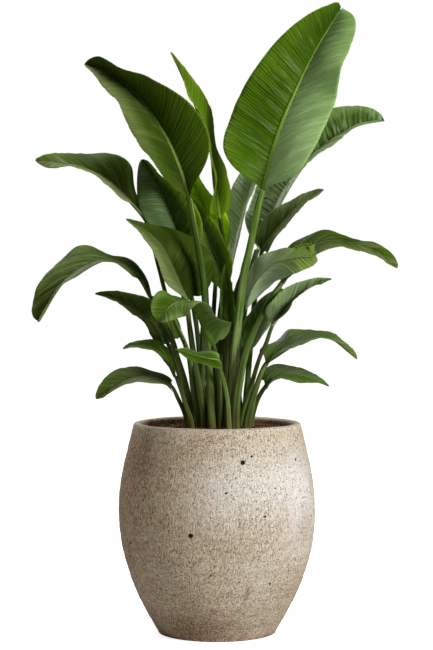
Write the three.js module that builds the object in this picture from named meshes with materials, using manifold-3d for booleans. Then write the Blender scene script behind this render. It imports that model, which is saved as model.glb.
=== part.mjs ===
// A potted bird of paradise plant: a bellied stoneware pot, its bed of soil, twenty-five leaves,
// each a blade on its own stalk, and four young leaves still rolled into spears. Millimetres, +Z
// up, with the origin at the middle of the pot's base. -Y is the front.

import * as THREE from 'three';
import { mergeVertices } from 'three/addons/utils/BufferGeometryUtils.js';
import Module from 'manifold-3d';

// ---------------------------------------------------------------- driving dimensions

const POT_HEIGHT = 420; // foot to the top of the lip
const BELLY_RADIUS = 197; // widest, a little above half height
const FOOT_RADIUS = 118;
const LIP_OUTER = 167;
const LIP_INNER = 152;
const WALL = 14;
const FLOOR = 16;
const POT_SEGMENTS = 40;

const DRAIN_HOLES = 3;
const DRAIN_RADIUS = 7;
const DRAIN_CIRCLE = 45; // radius of the circle the holes lie on

const SOIL_EDGE = 406; // the soil's height where it meets the wall
const SOIL_CROWN = 411; // and among the stalks
const CLEARANCE = 0.3; // the air left between pieces that touch

const BLADE_THICKNESS = 2;
const BLADE_BEND = 24; // degrees each half of a blade curls from its midrib to its edge
const STALK_SIDES = 8;
const STALK_STEPS = 7;

// The pot's outer wall as [height, radius], from the foot to the lip.
const POT_OUTLINE = [
  [0, FOOT_RADIUS], [5, 120], [11, 124], [30, 135], [60, 151], [95, 167], [130, 179], [170, 190],
  [210, 195.5], [245, BELLY_RADIUS], [285, 195], [325, 189], [365, 180], [400, 171.5],
  [414, LIP_OUTER + 0.5],
];

// The leaves. stalk runs from the foot in the soil to near the blade, and blade goes on from the
// neck to the tip: points the midrib passes through. half is the width of one half at the widest,
// rise and taper set how soon the blade reaches it and how blunt it ends, lobe is how far the
// shoulders hang back past the neck, and notch how far the edges run on past the tip. At each
// blade point, fold is how far the two halves lift towards each other, in degrees, and roll is
// how far the blade is turned about its midrib. radius is the stalk's at the soil and the neck.
// A blade's flat direction is level unless side gives another.
const LEAVES = [
  {
    name: 'leaf_01', // tallest, upper right, face on
    stalk: [[23, -20, 384], [24, -22, 427], [32, -34, 513], [41, -46, 616], [53, -54, 713],
      [69, -58, 790], [83, -58, 859]],
    blade: [[90, -56, 883], [120, -48, 994], [156, -38, 1082], [195, -28, 1160], [245, -8, 1243]],
    half: 97, rise: 0.08, taper: 0.32, lobe: 4, notch: 4,
    roll: [15, 25, 10, 5, -25], fold: [45, 15, 20, 35, 45],
    radius: [9, 6],
  },
  {
    name: 'leaf_02', // upper left, wide, its tip curled over
    stalk: [[-10, -50, 384], [-11, -50, 429], [-16, -53, 528], [-22, -60, 627], [-25, -76, 692],
      [-35, -90, 760], [-46, -95, 823]],
    blade: [[-55, -92, 868], [-76, -86, 931], [-108, -76, 1000], [-153, -64, 1063], [-207, -52, 1110],
      [-261, -40, 1131]],
    half: 81, rise: 0.18, taper: 0.65, lobe: 0, notch: 0,
    roll: [10, -20, -10, 0, 10, -35], fold: [50, 35, 40, 55, 60, 40],
    radius: [7, 5.5],
  },
  {
    name: 'leaf_03', // tall and narrow, between 01 and 02
    stalk: [[-1, 22, 384], [0, 22, 423], [4, 22, 524], [14, 24, 624], [22, 22, 695], [19, 18, 749],
      [13, 14, 785]],
    blade: [[6, 10, 827], [-3, 8, 895], [-10, 4, 959], [-24, 0, 1011], [-48, -2, 1065],
      [-72, -2, 1119], [-92, 0, 1159]],
    half: 59, rise: 0.14, taper: 0.8, lobe: 8, notch: 0,
    roll: [-25, -75, -80, -80, -65, -70, -70], fold: [-5, 15, 5, 10, 20, 15, 15],
    radius: [6, 4],
  },
  {
    name: 'leaf_04', // left, arching over
    stalk: [[-34, -27, 384], [-37, -28, 427], [-47, -32, 481], [-59, -36, 565], [-84, -28, 624],
      [-103, -22, 681], [-122, -14, 755]],
    blade: [[-138, -8, 819], [-171, -24, 862], [-213, -44, 901], [-262, -62, 926], [-302, -74, 935],
      [-354, -86, 940]],
    half: 61, rise: 0.2, taper: 0.85, lobe: 4, notch: 0,
    roll: [-75, -75, -55, -70, -60, -20], fold: [10, 10, 25, 15, 10, -5],
    radius: [4.5, 3.6],
  },
  {
    name: 'leaf_05', // left, dark and cupped
    stalk: [[-25, 3, 384], [-26, 4, 425], [-28, 6, 479], [-36, 8, 565], [-43, 8, 625], [-54, 8, 685]],
    blade: [[-66, 6, 741], [-86, 2, 811], [-108, -2, 871], [-128, -5, 909], [-150, -8, 945]],
    half: 65, rise: 0.2, taper: 0.7, lobe: 4, notch: 0,
    roll: [-20, -15, 10, 30, 15], fold: [40, 45, 35, 35, 35],
    radius: [5.5, 4],
  },
  {
    name: 'leaf_06', // front left, large
    stalk: [[-24, -36, 384], [-26, -38, 428], [-33, -46, 482], [-47, -60, 564], [-53, -67, 607]],
    blade: [[-61, -69, 662], [-81, -78, 715], [-109, -93, 774], [-140, -106, 804], [-176, -116, 824]],
    half: 83, rise: 0.12, taper: 0.9, lobe: 14, notch: 0,
    roll: [-65, -50, -60, -70, -70], fold: [35, 30, 10, -5, 0],
    radius: [6.5, 4.5],
  },
  {
    name: 'leaf_07', // far left, arching low
    stalk: [[-41, -10, 384], [-45, -12, 426], [-56, -18, 467], [-68, -26, 517], [-79, -32, 551],
      [-91, -38, 592], [-109, -42, 626]],
    blade: [[-130, -46, 672], [-151, -62, 711], [-187, -90, 741], [-234, -118, 743], [-293, -142, 706],
      [-342, -160, 626]],
    half: 53, rise: 0.24, taper: 0.4, lobe: 0, notch: 0,
    roll: [-70, -80, -80, -65, -60, -55], fold: [5, 10, -5, 15, 20, 40],
    radius: [6.5, 4.2],
  },
  {
    name: 'leaf_08', // lower left, short
    stalk: [[-45, 12, 384], [-49, 10, 424], [-60, 4, 467], [-74, 0, 509], [-85, -2, 541]],
    blade: [[-98, -4, 577], [-118, -10, 609], [-153, -20, 640], [-198, -32, 666], [-241, -42, 678]],
    half: 45, rise: 0.1, taper: 0.9, lobe: 14, notch: 0,
    roll: [-35, -45, -60, -55, -60], fold: [25, 20, 20, 20, 20],
    radius: [5, 3.6],
  },
  {
    name: 'leaf_09', // front centre, folded over towards the front
    stalk: [[5, -25, 384], [5, -30, 427], [6, -50, 484], [2, -73, 529]],
    blade: [[-7, -98, 579], [-24, -130, 611], [-42, -171, 653], [-59, -201, 667], [-85, -216, 660],
      [-111, -222, 629]],
    half: 53, rise: 0.12, taper: 0.35, lobe: 10, notch: 0,
    roll: [-15, -15, -5, -5, 35, 40], fold: [50, 35, 5, 0, 5, 35],
    radius: [5, 4], side: [-0.45, 0.88, 0.13],
  },
  {
    name: 'leaf_10', // lower left, thin
    stalk: [[-47, -40, 384], [-52, -42, 428], [-59, -45, 448], [-71, -53, 487]],
    blade: [[-81, -60, 515], [-100, -74, 551], [-127, -88, 573], [-156, -98, 579], [-183, -104, 572]],
    half: 32, rise: 0.16, taper: 0.85, lobe: 8, notch: 0,
    roll: [-90, -75, -70, -70, -75], fold: [5, 10, 10, 5, 15],
    radius: [5, 3.2],
  },
  {
    name: 'leaf_11', // lowest on the left
    stalk: [[-57, -24, 384], [-61, -28, 427], [-67, -34, 448], [-77, -44, 470]],
    blade: [[-89, -56, 495], [-112, -72, 512], [-145, -88, 518], [-187, -104, 507], [-235, -114, 475]],
    half: 40, rise: 0.16, taper: 0.65, lobe: 12, notch: 0,
    roll: [-55, -80, -70, -55, -45], fold: [10, 0, 5, 20, 30],
    radius: [4.5, 3.2],
  },
  {
    name: 'leaf_12', // small, low at the front, nearly edge on
    stalk: [[24, -58, 384], [23, -62, 430], [20, -72, 471], [14, -84, 504], [7, -99, 531]],
    blade: [[3, -112, 549], [-15, -130, 554], [-37, -142, 560], [-58, -150, 567], [-81, -156, 574]],
    half: 32, rise: 0.2, taper: 0.75, lobe: 8, notch: 0,
    roll: [-25, -70, -75, -65, -85], fold: [25, -5, -5, -5, -5],
    radius: [4.5, 3.2],
  },
  {
    name: 'leaf_13', // large, behind 01, reaching right
    stalk: [[31, 35, 384], [32, 36, 422], [42, 44, 523], [53, 48, 624], [65, 46, 705]],
    blade: [[81, 50, 765], [104, 68, 816], [137, 90, 880], [187, 108, 951], [243, 120, 997],
      [295, 126, 1024], [345, 128, 1033]],
    half: 80, rise: 0.12, taper: 0.4, lobe: 0, notch: 0,
    roll: [95, 70, 70, 55, 45, 55, 60], fold: [0, 20, 20, 30, 35, 35, 20],
    radius: [7, 5],
  },
  {
    name: 'leaf_14', // pale, behind the centre
    stalk: [[14, 41, 384], [14, 42, 422], [16, 52, 522], [20, 62, 623], [22, 70, 694]],
    blade: [[27, 76, 735], [41, 78, 796], [59, 78, 862], [73, 76, 912], [88, 72, 973]],
    half: 43, rise: 0.2, taper: 0.75, lobe: 2, notch: 0,
    roll: [70, 70, 55, 45, 50], fold: [10, 15, 30, 30, 25],
    radius: [6, 4.4],
  },
  {
    name: 'leaf_15', // right of the centre, pointed
    stalk: [[55, 22, 384], [56, 22, 423], [62, 20, 504], [70, 18, 604], [78, 8, 685], [85, -6, 729]],
    blade: [[90, -18, 763], [109, -26, 791], [131, -30, 818], [165, -34, 854], [211, -34, 884]],
    half: 43, rise: 0.14, taper: 0.85, lobe: 6, notch: 0,
    roll: [35, 60, 60, 65, 60], fold: [20, 20, 20, 15, 20],
    radius: [6, 4],
  },
  {
    name: 'leaf_16', // right, arching out farthest
    stalk: [[35, -47, 384], [36, -48, 429], [38, -50, 461], [43, -54, 500], [57, -58, 564],
      [79, -58, 617], [101, -54, 660]],
    blade: [[129, -40, 701], [151, -28, 735], [185, -26, 771], [225, -18, 784], [265, -12, 778],
      [309, -8, 767], [360, -4, 729]],
    half: 45, rise: 0.16, taper: 0.55, lobe: 4, notch: 0,
    roll: [60, 55, 65, 65, 75, 65, 50], fold: [10, 10, 5, 5, 0, 5, 30],
    radius: [9, 4.6],
  },
  {
    name: 'leaf_17', // front right, its underside showing and its tip rolled over
    stalk: [[38, 15, 384], [38, 14, 424], [39, 8, 505], [44, -6, 575]],
    blade: [[57, -28, 648], [69, -52, 688], [88, -76, 717], [117, -96, 740], [154, -108, 749],
      [187, -102, 753], [190, -86, 762], [168, -78, 766], [139, -76, 762]],
    half: 41, rise: 0.12, taper: 0.95, lobe: 0, notch: 0,
    roll: [-15, -5, 0, 20, 20, -20, -20, -10, 0], fold: [50, 55, 45, 40, 30, 25, -5, 0, 5],
    radius: [5, 3.8], side: [-0.6, 0, 0.75],
  },
  {
    name: 'leaf_18', // narrow, behind the stalk of 01
    stalk: [[17, 12, 384], [18, 12, 424], [22, 14, 484], [28, 16, 544]],
    blade: [[34, 18, 598], [40, 20, 640], [46, 20, 685], [52, 16, 741]],
    half: 20, rise: 0.16, taper: 0.85, lobe: 6, notch: 0,
    roll: [-15, 0, 0, -25], fold: [40, 50, 50, 45],
    radius: [4, 3],
  },
  {
    name: 'leaf_19', // right, lower
    stalk: [[41, -11, 384], [46, -14, 426], [67, -26, 493], [85, -52, 554], [97, -56, 581]],
    blade: [[110, -58, 617], [130, -56, 641], [150, -48, 666], [188, -40, 693], [227, -32, 707]],
    half: 36, rise: 0.08, taper: 1, lobe: 4, notch: 0,
    roll: [45, 25, 30, 30, 30], fold: [50, 60, 60, 60, 45],
    radius: [5, 3.4],
  },
  {
    name: 'leaf_20', // behind the stalk of 16
    stalk: [[54, -1, 384], [52, -2, 425], [46, -6, 465], [45, -8, 509], [48, -10, 546]],
    blade: [[54, -12, 570], [74, -12, 603], [94, -12, 637], [112, -10, 663], [132, -6, 687]],
    half: 33, rise: 0.16, taper: 0.7, lobe: 10, notch: 0,
    roll: [-10, 10, 5, 10, 5], fold: [40, 50, 40, 25, 25],
    radius: [4, 3.2],
  },
  {
    name: 'leaf_21', // right, low, its tip drooping
    stalk: [[58, -34, 384], [61, -38, 428], [66, -44, 452], [76, -50, 488], [86, -46, 516]],
    blade: [[99, -36, 541], [123, -38, 561], [148, -46, 577], [185, -58, 594], [224, -74, 592],
      [274, -82, 551]],
    half: 50, rise: 0.1, taper: 0.75, lobe: 12, notch: 0,
    roll: [35, 75, 75, 80, 80, 60], fold: [45, 15, 15, 0, 5, 25],
    radius: [7.5, 4.2],
  },
  {
    name: 'leaf_22', // lowest on the right
    stalk: [[66, -5, 384], [69, -6, 425], [74, -8, 446], [82, -10, 468], [89, -12, 481]],
    blade: [[98, -14, 494], [111, -22, 508], [139, -34, 516], [176, -46, 515], [221, -54, 496]],
    half: 34, rise: 0.12, taper: 0.8, lobe: 8, notch: 0,
    roll: [45, 60, 75, 60, 75], fold: [30, 20, 10, 0, 15],
    radius: [6, 3.6],
  },
  {
    name: 'leaf_23', // behind the stalk of 02
    stalk: [[-6, -14, 384], [-6, -12, 426], [-4, 0, 505], [2, 14, 605]],
    blade: [[10, 24, 685], [4, 26, 735], [-10, 28, 773], [-28, 28, 808], [-62, 30, 882]],
    half: 40, rise: 0.16, taper: 0.7, lobe: 4, notch: 0,
    roll: [5, 5, 5, -5, 20], fold: [40, 45, 45, 45, 45],
    radius: [5, 4],
  },
  {
    name: 'leaf_24', // behind the centre, pale
    stalk: [[-17, 26, 384], [-16, 28, 423], [-12, 44, 523], [-8, 62, 623], [-4, 70, 684]],
    blade: [[-2, 78, 741], [-14, 86, 817], [-33, 90, 872], [-55, 94, 926], [-80, 96, 979]],
    half: 44, rise: 0.16, taper: 0.6, lobe: 4, notch: 0,
    roll: [-5, 0, 10, 30, 20], fold: [20, 35, 50, 40, 25],
    radius: [5, 4],
  },
  {
    name: 'leaf_25', // narrow, in the centre
    stalk: [[9, -4, 384], [10, -4, 425], [16, -6, 505], [22, -8, 575]],
    blade: [[25, -8, 605], [21, -10, 641], [19, -10, 685], [17, -6, 737]],
    half: 20, rise: 0.16, taper: 0.8, lobe: 0, notch: 0,
    roll: [15, 0, 0, 5], fold: [50, 50, 45, 35],
    radius: [4.5, 3.2],
  },
];

// Young leaves that are still rolled into a spear: the points each passes through, and its radii
// from the soil to its point, evenly spaced.
const SPEARS = [
  {
    name: 'spear_1',
    name: 'spear_1', // left of the centre
    line: [[-30, -16, 384], [-30, -16, 430], [-30, -17, 500], [-28, -19, 580], [-26, -22, 650],
      [-25, -24, 700]],
    radius: [5, 4.2, 4.2, 5, 3.6, 1],
  },
  {
    name: 'spear_2', // behind it, the longest
    line: [[-16, 12, 384], [-16, 13, 430], [-19, 19, 500], [-21, 25, 580], [-21, 30, 660],
      [-20, 33, 730]],
    radius: [5, 4.2, 4.4, 5.4, 3.8, 1],
  },
  {
    name: 'spear_3', // right of the centre, at the back
    line: [[24, 23, 384], [24, 23, 430], [26, 27, 500], [28, 32, 580], [29, 37, 650], [30, 40, 700]],
    radius: [5, 4.4, 4.4, 5, 3.6, 1],
  },
  {
    name: 'spear_4', // short and thin, on the left
    line: [[-34, 0, 384], [-36, -1, 430], [-41, -4, 480], [-45, -5, 530], [-47, -5, 575]],
    radius: [3.5, 3.5, 4, 3, 1],
  },
];

const GREEN = new THREE.Color(0.1, 0.2, 0.055);
const STALK_GREEN = new THREE.Color(0.2, 0.3, 0.09);

// ---------------------------------------------------------------- closed solids

// A closed geometry from points and triangles, turned to face outwards.
function solid(points, faces) {
  const geometry = new THREE.BufferGeometry();
  const numbers = points.flatMap((point) => point.toArray());
  geometry.setAttribute('position', new THREE.Float32BufferAttribute(numbers, 3));
  let volume = 0;
  const cross = new THREE.Vector3();
  for (const [a, b, c] of faces) volume += points[a].dot(cross.crossVectors(points[b], points[c]));
  geometry.setIndex(faces.flatMap(([a, b, c]) => (volume < 0 ? [a, c, b] : [a, b, c])));
  return geometry;
}

// A turned body from a closed [height, radius] outline, with the seam and the poles welded.
function turned(outline) {
  const profile = outline.map(([z, r]) => new THREE.Vector2(r, z));
  const geometry = new THREE.LatheGeometry(profile, POT_SEGMENTS).rotateX(Math.PI / 2);
  geometry.deleteAttribute('normal');
  geometry.deleteAttribute('uv');
  const welded = mergeVertices(geometry, 1e-3);
  const position = welded.getAttribute('position');
  const points = [];
  for (let i = 0; i < position.count; i++) {
    points.push(new THREE.Vector3().fromBufferAttribute(position, i));
  }
  const faces = [];
  const index = welded.index.array;
  for (let i = 0; i < index.length; i += 3) {
    const [a, b, c] = index.slice(i, i + 3);
    if (a !== b && b !== c && c !== a) faces.push([a, b, c]);
  }
  return solid(points, faces);
}

const wasm = await Module();
wasm.setup();

function toManifold(geometry) {
  return new wasm.Manifold(new wasm.Mesh({
    numProp: 3,
    vertProperties: new Float32Array(geometry.getAttribute('position').array),
    triVerts: new Uint32Array(geometry.index.array),
  }));
}

function fromManifold(manifold) {
  const mesh = manifold.getMesh();
  const geometry = new THREE.BufferGeometry();
  geometry.setAttribute('position', new THREE.Float32BufferAttribute(mesh.vertProperties, 3));
  geometry.setIndex(Array.from(mesh.triVerts));
  return geometry;
}

// ---------------------------------------------------------------- leaves

// A smooth value through numbers spaced evenly along 0 to 1.
function through(values, t) {
  const last = values.length - 1;
  const at = (i) => (i < 0 ? 2 * values[0] - values[1]
    : i > last ? 2 * values[last] - values[last - 1] : values[i]);
  const place = Math.min(Math.max(t, 0), 1) * last;
  const i = Math.min(Math.floor(place), last - 1);
  const w = place - i;
  const [a, b, c, d] = [at(i - 1), at(i), at(i + 1), at(i + 2)];
  return b + 0.5 * w * (c - a + w * (2 * a - 5 * b + 4 * c - d + w * (3 * (b - c) + d - a)));
}

// A spear: one round body on a smooth line from the soil to its point. A leaf's stalk is made the
// same way, up to its neck.
class Spear {
  constructor(shape, line = shape.line) {
    this.shape = shape;
    this.points = line.map((p) => new THREE.Vector3(...p));
    this.curve = new THREE.CatmullRomCurve3(this.points);
    this.lengths = this.curve.getLengths();
    this.total = this.lengths[this.lengths.length - 1];
    this.neck = this.total;
  }

  // The line's point, direction, blade direction and upward direction at a distance from the soil.
  frame(distance) {
    const u = distance / this.total;
    const along = this.curve.getTangentAt(u);
    const side = this.shape.side ? new THREE.Vector3(...this.shape.side) : null;
    const across = side
      ? side.addScaledVector(along, -along.dot(side))
      : new THREE.Vector3().crossVectors(along, new THREE.Vector3(0, -1, 0));
    across.normalize();
    const up = new THREE.Vector3().crossVectors(across, along);
    return { at: this.curve.getPointAt(u), along, across, up };
  }

  // The body: rings of a tapering polygon. The bigger one that cuts its socket is swollen by grow.
  stalk(grow = 0) {
    const points = [];
    for (let i = 0; i <= STALK_STEPS; i++) {
      const { at, along, across, up } = this.frame((this.neck * i) / STALK_STEPS);
      if (i === 0) at.addScaledVector(along, -grow);
      const radius = through(this.shape.radius, i / STALK_STEPS) + grow;
      for (let k = 0; k < STALK_SIDES; k++) {
        const angle = (2 * Math.PI * k) / STALK_SIDES;
        points.push(at.clone()
          .addScaledVector(across, radius * Math.cos(angle))
          .addScaledVector(up, radius * Math.sin(angle)));
      }
    }
    const faces = [];
    for (let i = 0; i < STALK_STEPS; i++) {
      for (let k = 0; k < STALK_SIDES; k++) {
        const [a, b] = [i * STALK_SIDES + k, i * STALK_SIDES + ((k + 1) % STALK_SIDES)];
        faces.push([a, b, b + STALK_SIDES], [a, b + STALK_SIDES, a + STALK_SIDES]);
      }
    }
    for (let k = 1; k < STALK_SIDES - 1; k++) {
      const top = STALK_STEPS * STALK_SIDES;
      faces.push([0, k + 1, k], [top, top + k, top + k + 1]);
    }
    return solid(points, faces);
  }
}

// One leaf: its midrib, and how its blade is turned, folded and widened along it.
class Leaf extends Spear {
  constructor(shape) {
    super(shape, [...shape.stalk, ...shape.blade]);
    const place = (shape.stalk.length / (this.points.length - 1)) * (this.lengths.length - 1);
    const below = Math.floor(place);
    this.neck = THREE.MathUtils.lerp(this.lengths[below], this.lengths[below + 1], place - below);
    this.peak = 0;
    for (let u = 0.02; u < 1; u += 0.02) this.peak = Math.max(this.peak, this.swell(u));
  }

  swell(u) {
    const { rise, taper } = this.shape;
    return (1 - Math.exp(-((u / rise) ** 1.25))) * Math.max(1 - u ** 1.5, 0) ** taper;
  }

  // The blade: seven columns of its upper face, from one edge over the midrib to the other, and
  // five of its under face between the edges, with the midrib standing out below.
  blade() {
    const { half, roll, fold, radius, lobe, notch, stalk, blade } = this.shape;
    const columns = [-1, -0.62, -0.3, 0, 0.3, 0.62, 1];
    const steps = this.total - this.neck > 230 ? 12 : 9;
    const bend = THREE.MathUtils.degToRad(BLADE_BEND);
    const start = this.neck + CLEARANCE + 0.05;
    const points = [];
    for (let i = 0; i <= steps; i++) {
      const u = (1 - Math.cos((Math.PI * i) / steps)) / 2;
      const { at, along, across, up } = this.frame(start + u * (this.total - start));
      const nominal = (this.neck + u * (this.total - this.neck)) / this.total;
      const place = (this.curve.getUtoTmapping(nominal, 0) * (this.points.length - 1) - stalk.length)
        / (blade.length - 1);
      const turn = THREE.MathUtils.degToRad(through(roll, place));
      const lift = THREE.MathUtils.degToRad(through(fold, place));
      const rib = radius[1] * (1 - u) ** 0.8 + 0.6;
      const width = (half * this.swell(u)) / this.peak + rib + 1.6 * u ** 4;
      const shoulder = Math.max(u - 0.03, 0) / 0.05;
      const back = lobe * shoulder * Math.exp(1 - shoulder) - notch * u ** 14;
      const upper = [];
      const under = [];
      for (const column of columns) {
        const sign = column < 0 ? -1 : 1;
        const q = Math.abs(column);
        const lean = lift + sign * turn + bend / 2;
        const out = (width * (Math.sin(lean) - Math.sin(lean - bend * q))) / bend;
        const rise = (width * (Math.cos(lean - bend * q) - Math.cos(lean))) / bend;
        const point = at.clone()
          .addScaledVector(across, sign * out)
          .addScaledVector(up, rise)
          .addScaledVector(along, -back * Math.max(0, (q - 0.45) / 0.55) ** 2);
        upper.push(point);
        if (q === 1) continue;
        const slope = q === 0 ? turn : sign * (lean - bend * q);
        const depth = q === 0 ? 1 + 1.1 * rib : Math.min(BLADE_THICKNESS, 0.8 + width / 12);
        under.push(point.clone()
          .addScaledVector(across, depth * Math.sin(slope))
          .addScaledVector(up, -depth * Math.cos(slope)));
      }
      points.push(...upper, ...under.reverse());
    }
    return solid(points, bladeFaces(steps));
  }
}

// The triangles between a blade's rings of twelve points. Both faces split each square the same
// way, outwards from the midrib, so the thin edge stays clean.
function bladeFaces(steps) {
  const ring = 12;
  const upper = [0, 1, 2, 3, 4, 5, 6];
  const under = [0, 11, 10, 9, 8, 7, 6];
  const faces = [];
  const add = (flip, ...triangles) => {
    for (const [a, b, c] of triangles) faces.push(flip ? [a, c, b] : [a, b, c]);
  };
  for (let i = 0; i < steps; i++) {
    for (const [columns, flip] of [[upper, false], [under, true]]) {
      for (let k = 0; k < 6; k++) {
        const [a, b] = [i * ring + columns[k], i * ring + columns[k + 1]];
        const [c, d] = [a + ring, b + ring];
        if (k < 3) add(flip, [a, b, c], [b, d, c]);
        else add(flip, [a, b, d], [a, d, c]);
      }
    }
  }
  for (const [i, flip] of [[0, false], [steps, true]]) {
    for (let k = 0; k < 6; k++) {
      const [a, b] = [i * ring + upper[k], i * ring + upper[k + 1]];
      const [c, d] = [i * ring + under[k], i * ring + under[k + 1]];
      if (k === 0) add(flip, [a, d, b]);
      else if (k < 3) add(flip, [a, c, b], [b, c, d]);
      else if (k < 5) add(flip, [a, d, b], [a, c, d]);
      else add(flip, [a, c, b]);
    }
  }
  return faces;
}

// ---------------------------------------------------------------- pot and soil

// The inner wall runs a wall's thickness inside the outer one, from the floor up to the lip.
const innerWall = POT_OUTLINE.filter(([z]) => z >= 60 && z <= 400).map(([z, r]) => [z, r - WALL]);

const potOutline = [
  [0, 0],
  ...POT_OUTLINE,
  [418, LIP_OUTER - 2], [POT_HEIGHT, LIP_OUTER - 6],
  [POT_HEIGHT, LIP_INNER + 4.5], [418, LIP_INNER + 1], [414, LIP_INNER],
  ...innerWall.toReversed(),
  [32, 122], [FLOOR + 3, 112], [FLOOR, 106],
  [FLOOR, 0],
];

function potBody() {
  let body = toManifold(turned(potOutline));
  for (let i = 0; i < DRAIN_HOLES; i++) {
    const angle = (2 * Math.PI * (i + 0.5)) / DRAIN_HOLES;
    const drill = new THREE.CylinderGeometry(DRAIN_RADIUS, DRAIN_RADIUS, 3 * FLOOR, 16)
      .rotateX(Math.PI / 2)
      .translate(DRAIN_CIRCLE * Math.cos(angle), DRAIN_CIRCLE * Math.sin(angle), FLOOR / 2);
    drill.deleteAttribute('normal');
    drill.deleteAttribute('uv');
    body = body.subtract(toManifold(mergeVertices(drill, 1e-3)));
  }
  return fromManifold(body);
}

// The soil fills the pot a clearance inside its wall and floor. Each stalk stands in a socket.
function soilBody(shoots) {
  const inside = innerWall.filter(([z]) => z < SOIL_EDGE - 10).map(([z, r]) => [z, r - CLEARANCE - 0.1]);
  let body = toManifold(turned([
    [FLOOR + CLEARANCE, 0], [FLOOR + CLEARANCE, 105.5], [FLOOR + 3.4, 111.5], [32, 121.5],
    ...inside,
    [SOIL_EDGE, LIP_INNER + 2.6],
    [SOIL_EDGE + 1.2, 120], [SOIL_EDGE + 3, 85], [SOIL_CROWN - 0.5, 45], [SOIL_CROWN, 0],
  ]));
  for (const shoot of shoots) body = body.subtract(toManifold(shoot.stalk(CLEARANCE)));
  return fromManifold(body);
}

// ---------------------------------------------------------------- the object

const plant = new THREE.Group();

function place(name, geometry, color, roughness) {
  const material = new THREE.MeshStandardMaterial({ color, roughness, metalness: 0 });
  const mesh = new THREE.Mesh(geometry, material);
  mesh.name = name;
  plant.add(mesh);
}

const leaves = LEAVES.map((shape) => new Leaf(shape));
const spears = SPEARS.map((shape) => new Spear(shape));

place('pot', potBody(), new THREE.Color(0.5, 0.43, 0.34), 0.85);
place('soil', soilBody([...leaves, ...spears]), new THREE.Color(0.09, 0.06, 0.045), 0.95);
leaves.forEach((leaf) => {
  place(`${leaf.shape.name}_stalk`, leaf.stalk(), STALK_GREEN, 0.5);
  place(`${leaf.shape.name}_blade`, leaf.blade(), GREEN, 0.45);
});
spears.forEach((spear) => place(spear.shape.name, spear.stalk(), STALK_GREEN, 0.5));

export default plant;
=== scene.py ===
# %% [markdown]
# # A potted bird of paradise
#
# This lesson dresses a ready-made solid model of a house plant: a bellied stoneware pot, a bed of
# soil, twenty-five leaves, each a paddle-shaped blade on its own stalk, and four young leaves
# still rolled into spears. The solids already have the right sizes and places. Here every one of
# them gets a finer skin of its own, with the veins, ribs, throwing rings, pits and crumbs that
# make it look alive, and a material made of nodes. Everything is in metres, and -Y is the front.

# %% Load the solids
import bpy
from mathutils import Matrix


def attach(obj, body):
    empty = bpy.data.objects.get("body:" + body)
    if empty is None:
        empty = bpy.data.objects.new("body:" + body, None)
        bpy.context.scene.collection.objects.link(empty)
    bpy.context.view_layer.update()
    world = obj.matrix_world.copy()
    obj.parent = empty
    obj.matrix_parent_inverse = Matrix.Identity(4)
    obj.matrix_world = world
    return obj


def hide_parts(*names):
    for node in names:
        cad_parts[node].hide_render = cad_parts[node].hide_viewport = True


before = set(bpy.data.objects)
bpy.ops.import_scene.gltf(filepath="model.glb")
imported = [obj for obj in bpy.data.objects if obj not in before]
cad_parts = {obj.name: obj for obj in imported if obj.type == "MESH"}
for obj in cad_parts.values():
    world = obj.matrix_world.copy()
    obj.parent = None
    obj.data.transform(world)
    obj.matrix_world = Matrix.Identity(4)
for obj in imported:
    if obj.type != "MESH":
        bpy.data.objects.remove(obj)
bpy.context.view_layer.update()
print("solids:", len(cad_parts))

# %% Tools used throughout
import math

import bpy
import numpy as np
from mathutils import Vector
from mathutils.geometry import delaunay_2d_cdt

MM = 0.001
chance = np.random.default_rng(7)


# %% [markdown]
# ## The view
#
# A product picture of a tall plant is taken from well back with a long lens, so that the pot and
# the leaves keep their proportions. The horizon is where the ellipse of the pot's mouth would
# close to a line, and that gives the camera's height: a little above the middle of the plant,
# tipped down by less than two degrees.

# %% Camera
CAMERA_DISTANCE = 3.8
CAMERA_HEIGHT = 0.737
CAMERA_TIP = math.radians(1.84)
LENS = 105.2  # millimetres, for a picture 36 mm high

camera_data = bpy.data.cameras.new("camera")
camera_data.sensor_fit = "VERTICAL"
camera_data.sensor_height = 36
camera_data.lens = LENS
camera = bpy.data.objects.new("camera", camera_data)
camera.location = (-0.001, -CAMERA_DISTANCE, CAMERA_HEIGHT)
camera.rotation_euler = (math.pi / 2 - CAMERA_TIP, 0, 0)
bpy.context.scene.collection.objects.link(camera)
bpy.context.scene.camera = camera
print("camera:", tuple(camera.location))

# %% [markdown]
# ## Light
#
# Leaves are waxy, so they show the lamps. Large soft boxes give them the broad pale sheen that
# real ones have, where small lamps would give hard dots. The main box stands high on the right,
# a bigger and weaker one hangs overhead, and a white room fills the shadows. A faint warm box on
# the left keeps the shaded side of the clay brown instead of grey, and one behind shines through
# the thin leaves and edges the back of the plant.

# %% Lamps
def soft_box(name, place, aim, width, watts, colour=(1, 1, 1)):
    """A square area lamp at place, turned towards aim."""
    data = bpy.data.lights.new(name, "AREA")
    data.color = colour
    data.size = width
    data.energy = watts
    lamp = bpy.data.objects.new(name, data)
    lamp.location = place
    lamp.rotation_euler = (lamp.location - Vector(aim)).to_track_quat("Z", "Y").to_euler()
    bpy.context.scene.collection.objects.link(lamp)


soft_box("key_light", (2.5, -2.1, 1.9), (0, 0, 0.6), 1.2, 165)
soft_box("top_light", (-0.5, 0.3, 3.0), (0, 0, 0.8), 2.0, 62)
soft_box("left_fill", (-2.6, -1.6, 1.3), (0, 0, 0.7), 2.0, 6, (1, 0.86, 0.68))
soft_box("back_fill", (-1.6, 3.0, 1.8), (0, 0, 0.6), 2.0, 45)
print("lamps:", [lamp.name for lamp in bpy.data.lights])

# %% White room
world = bpy.data.worlds.new("room")
world.use_nodes = True
bpy.context.scene.world = world
bpy.context.scene.view_settings.view_transform = "Standard"
room = world.node_tree
room.nodes.clear()


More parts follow.
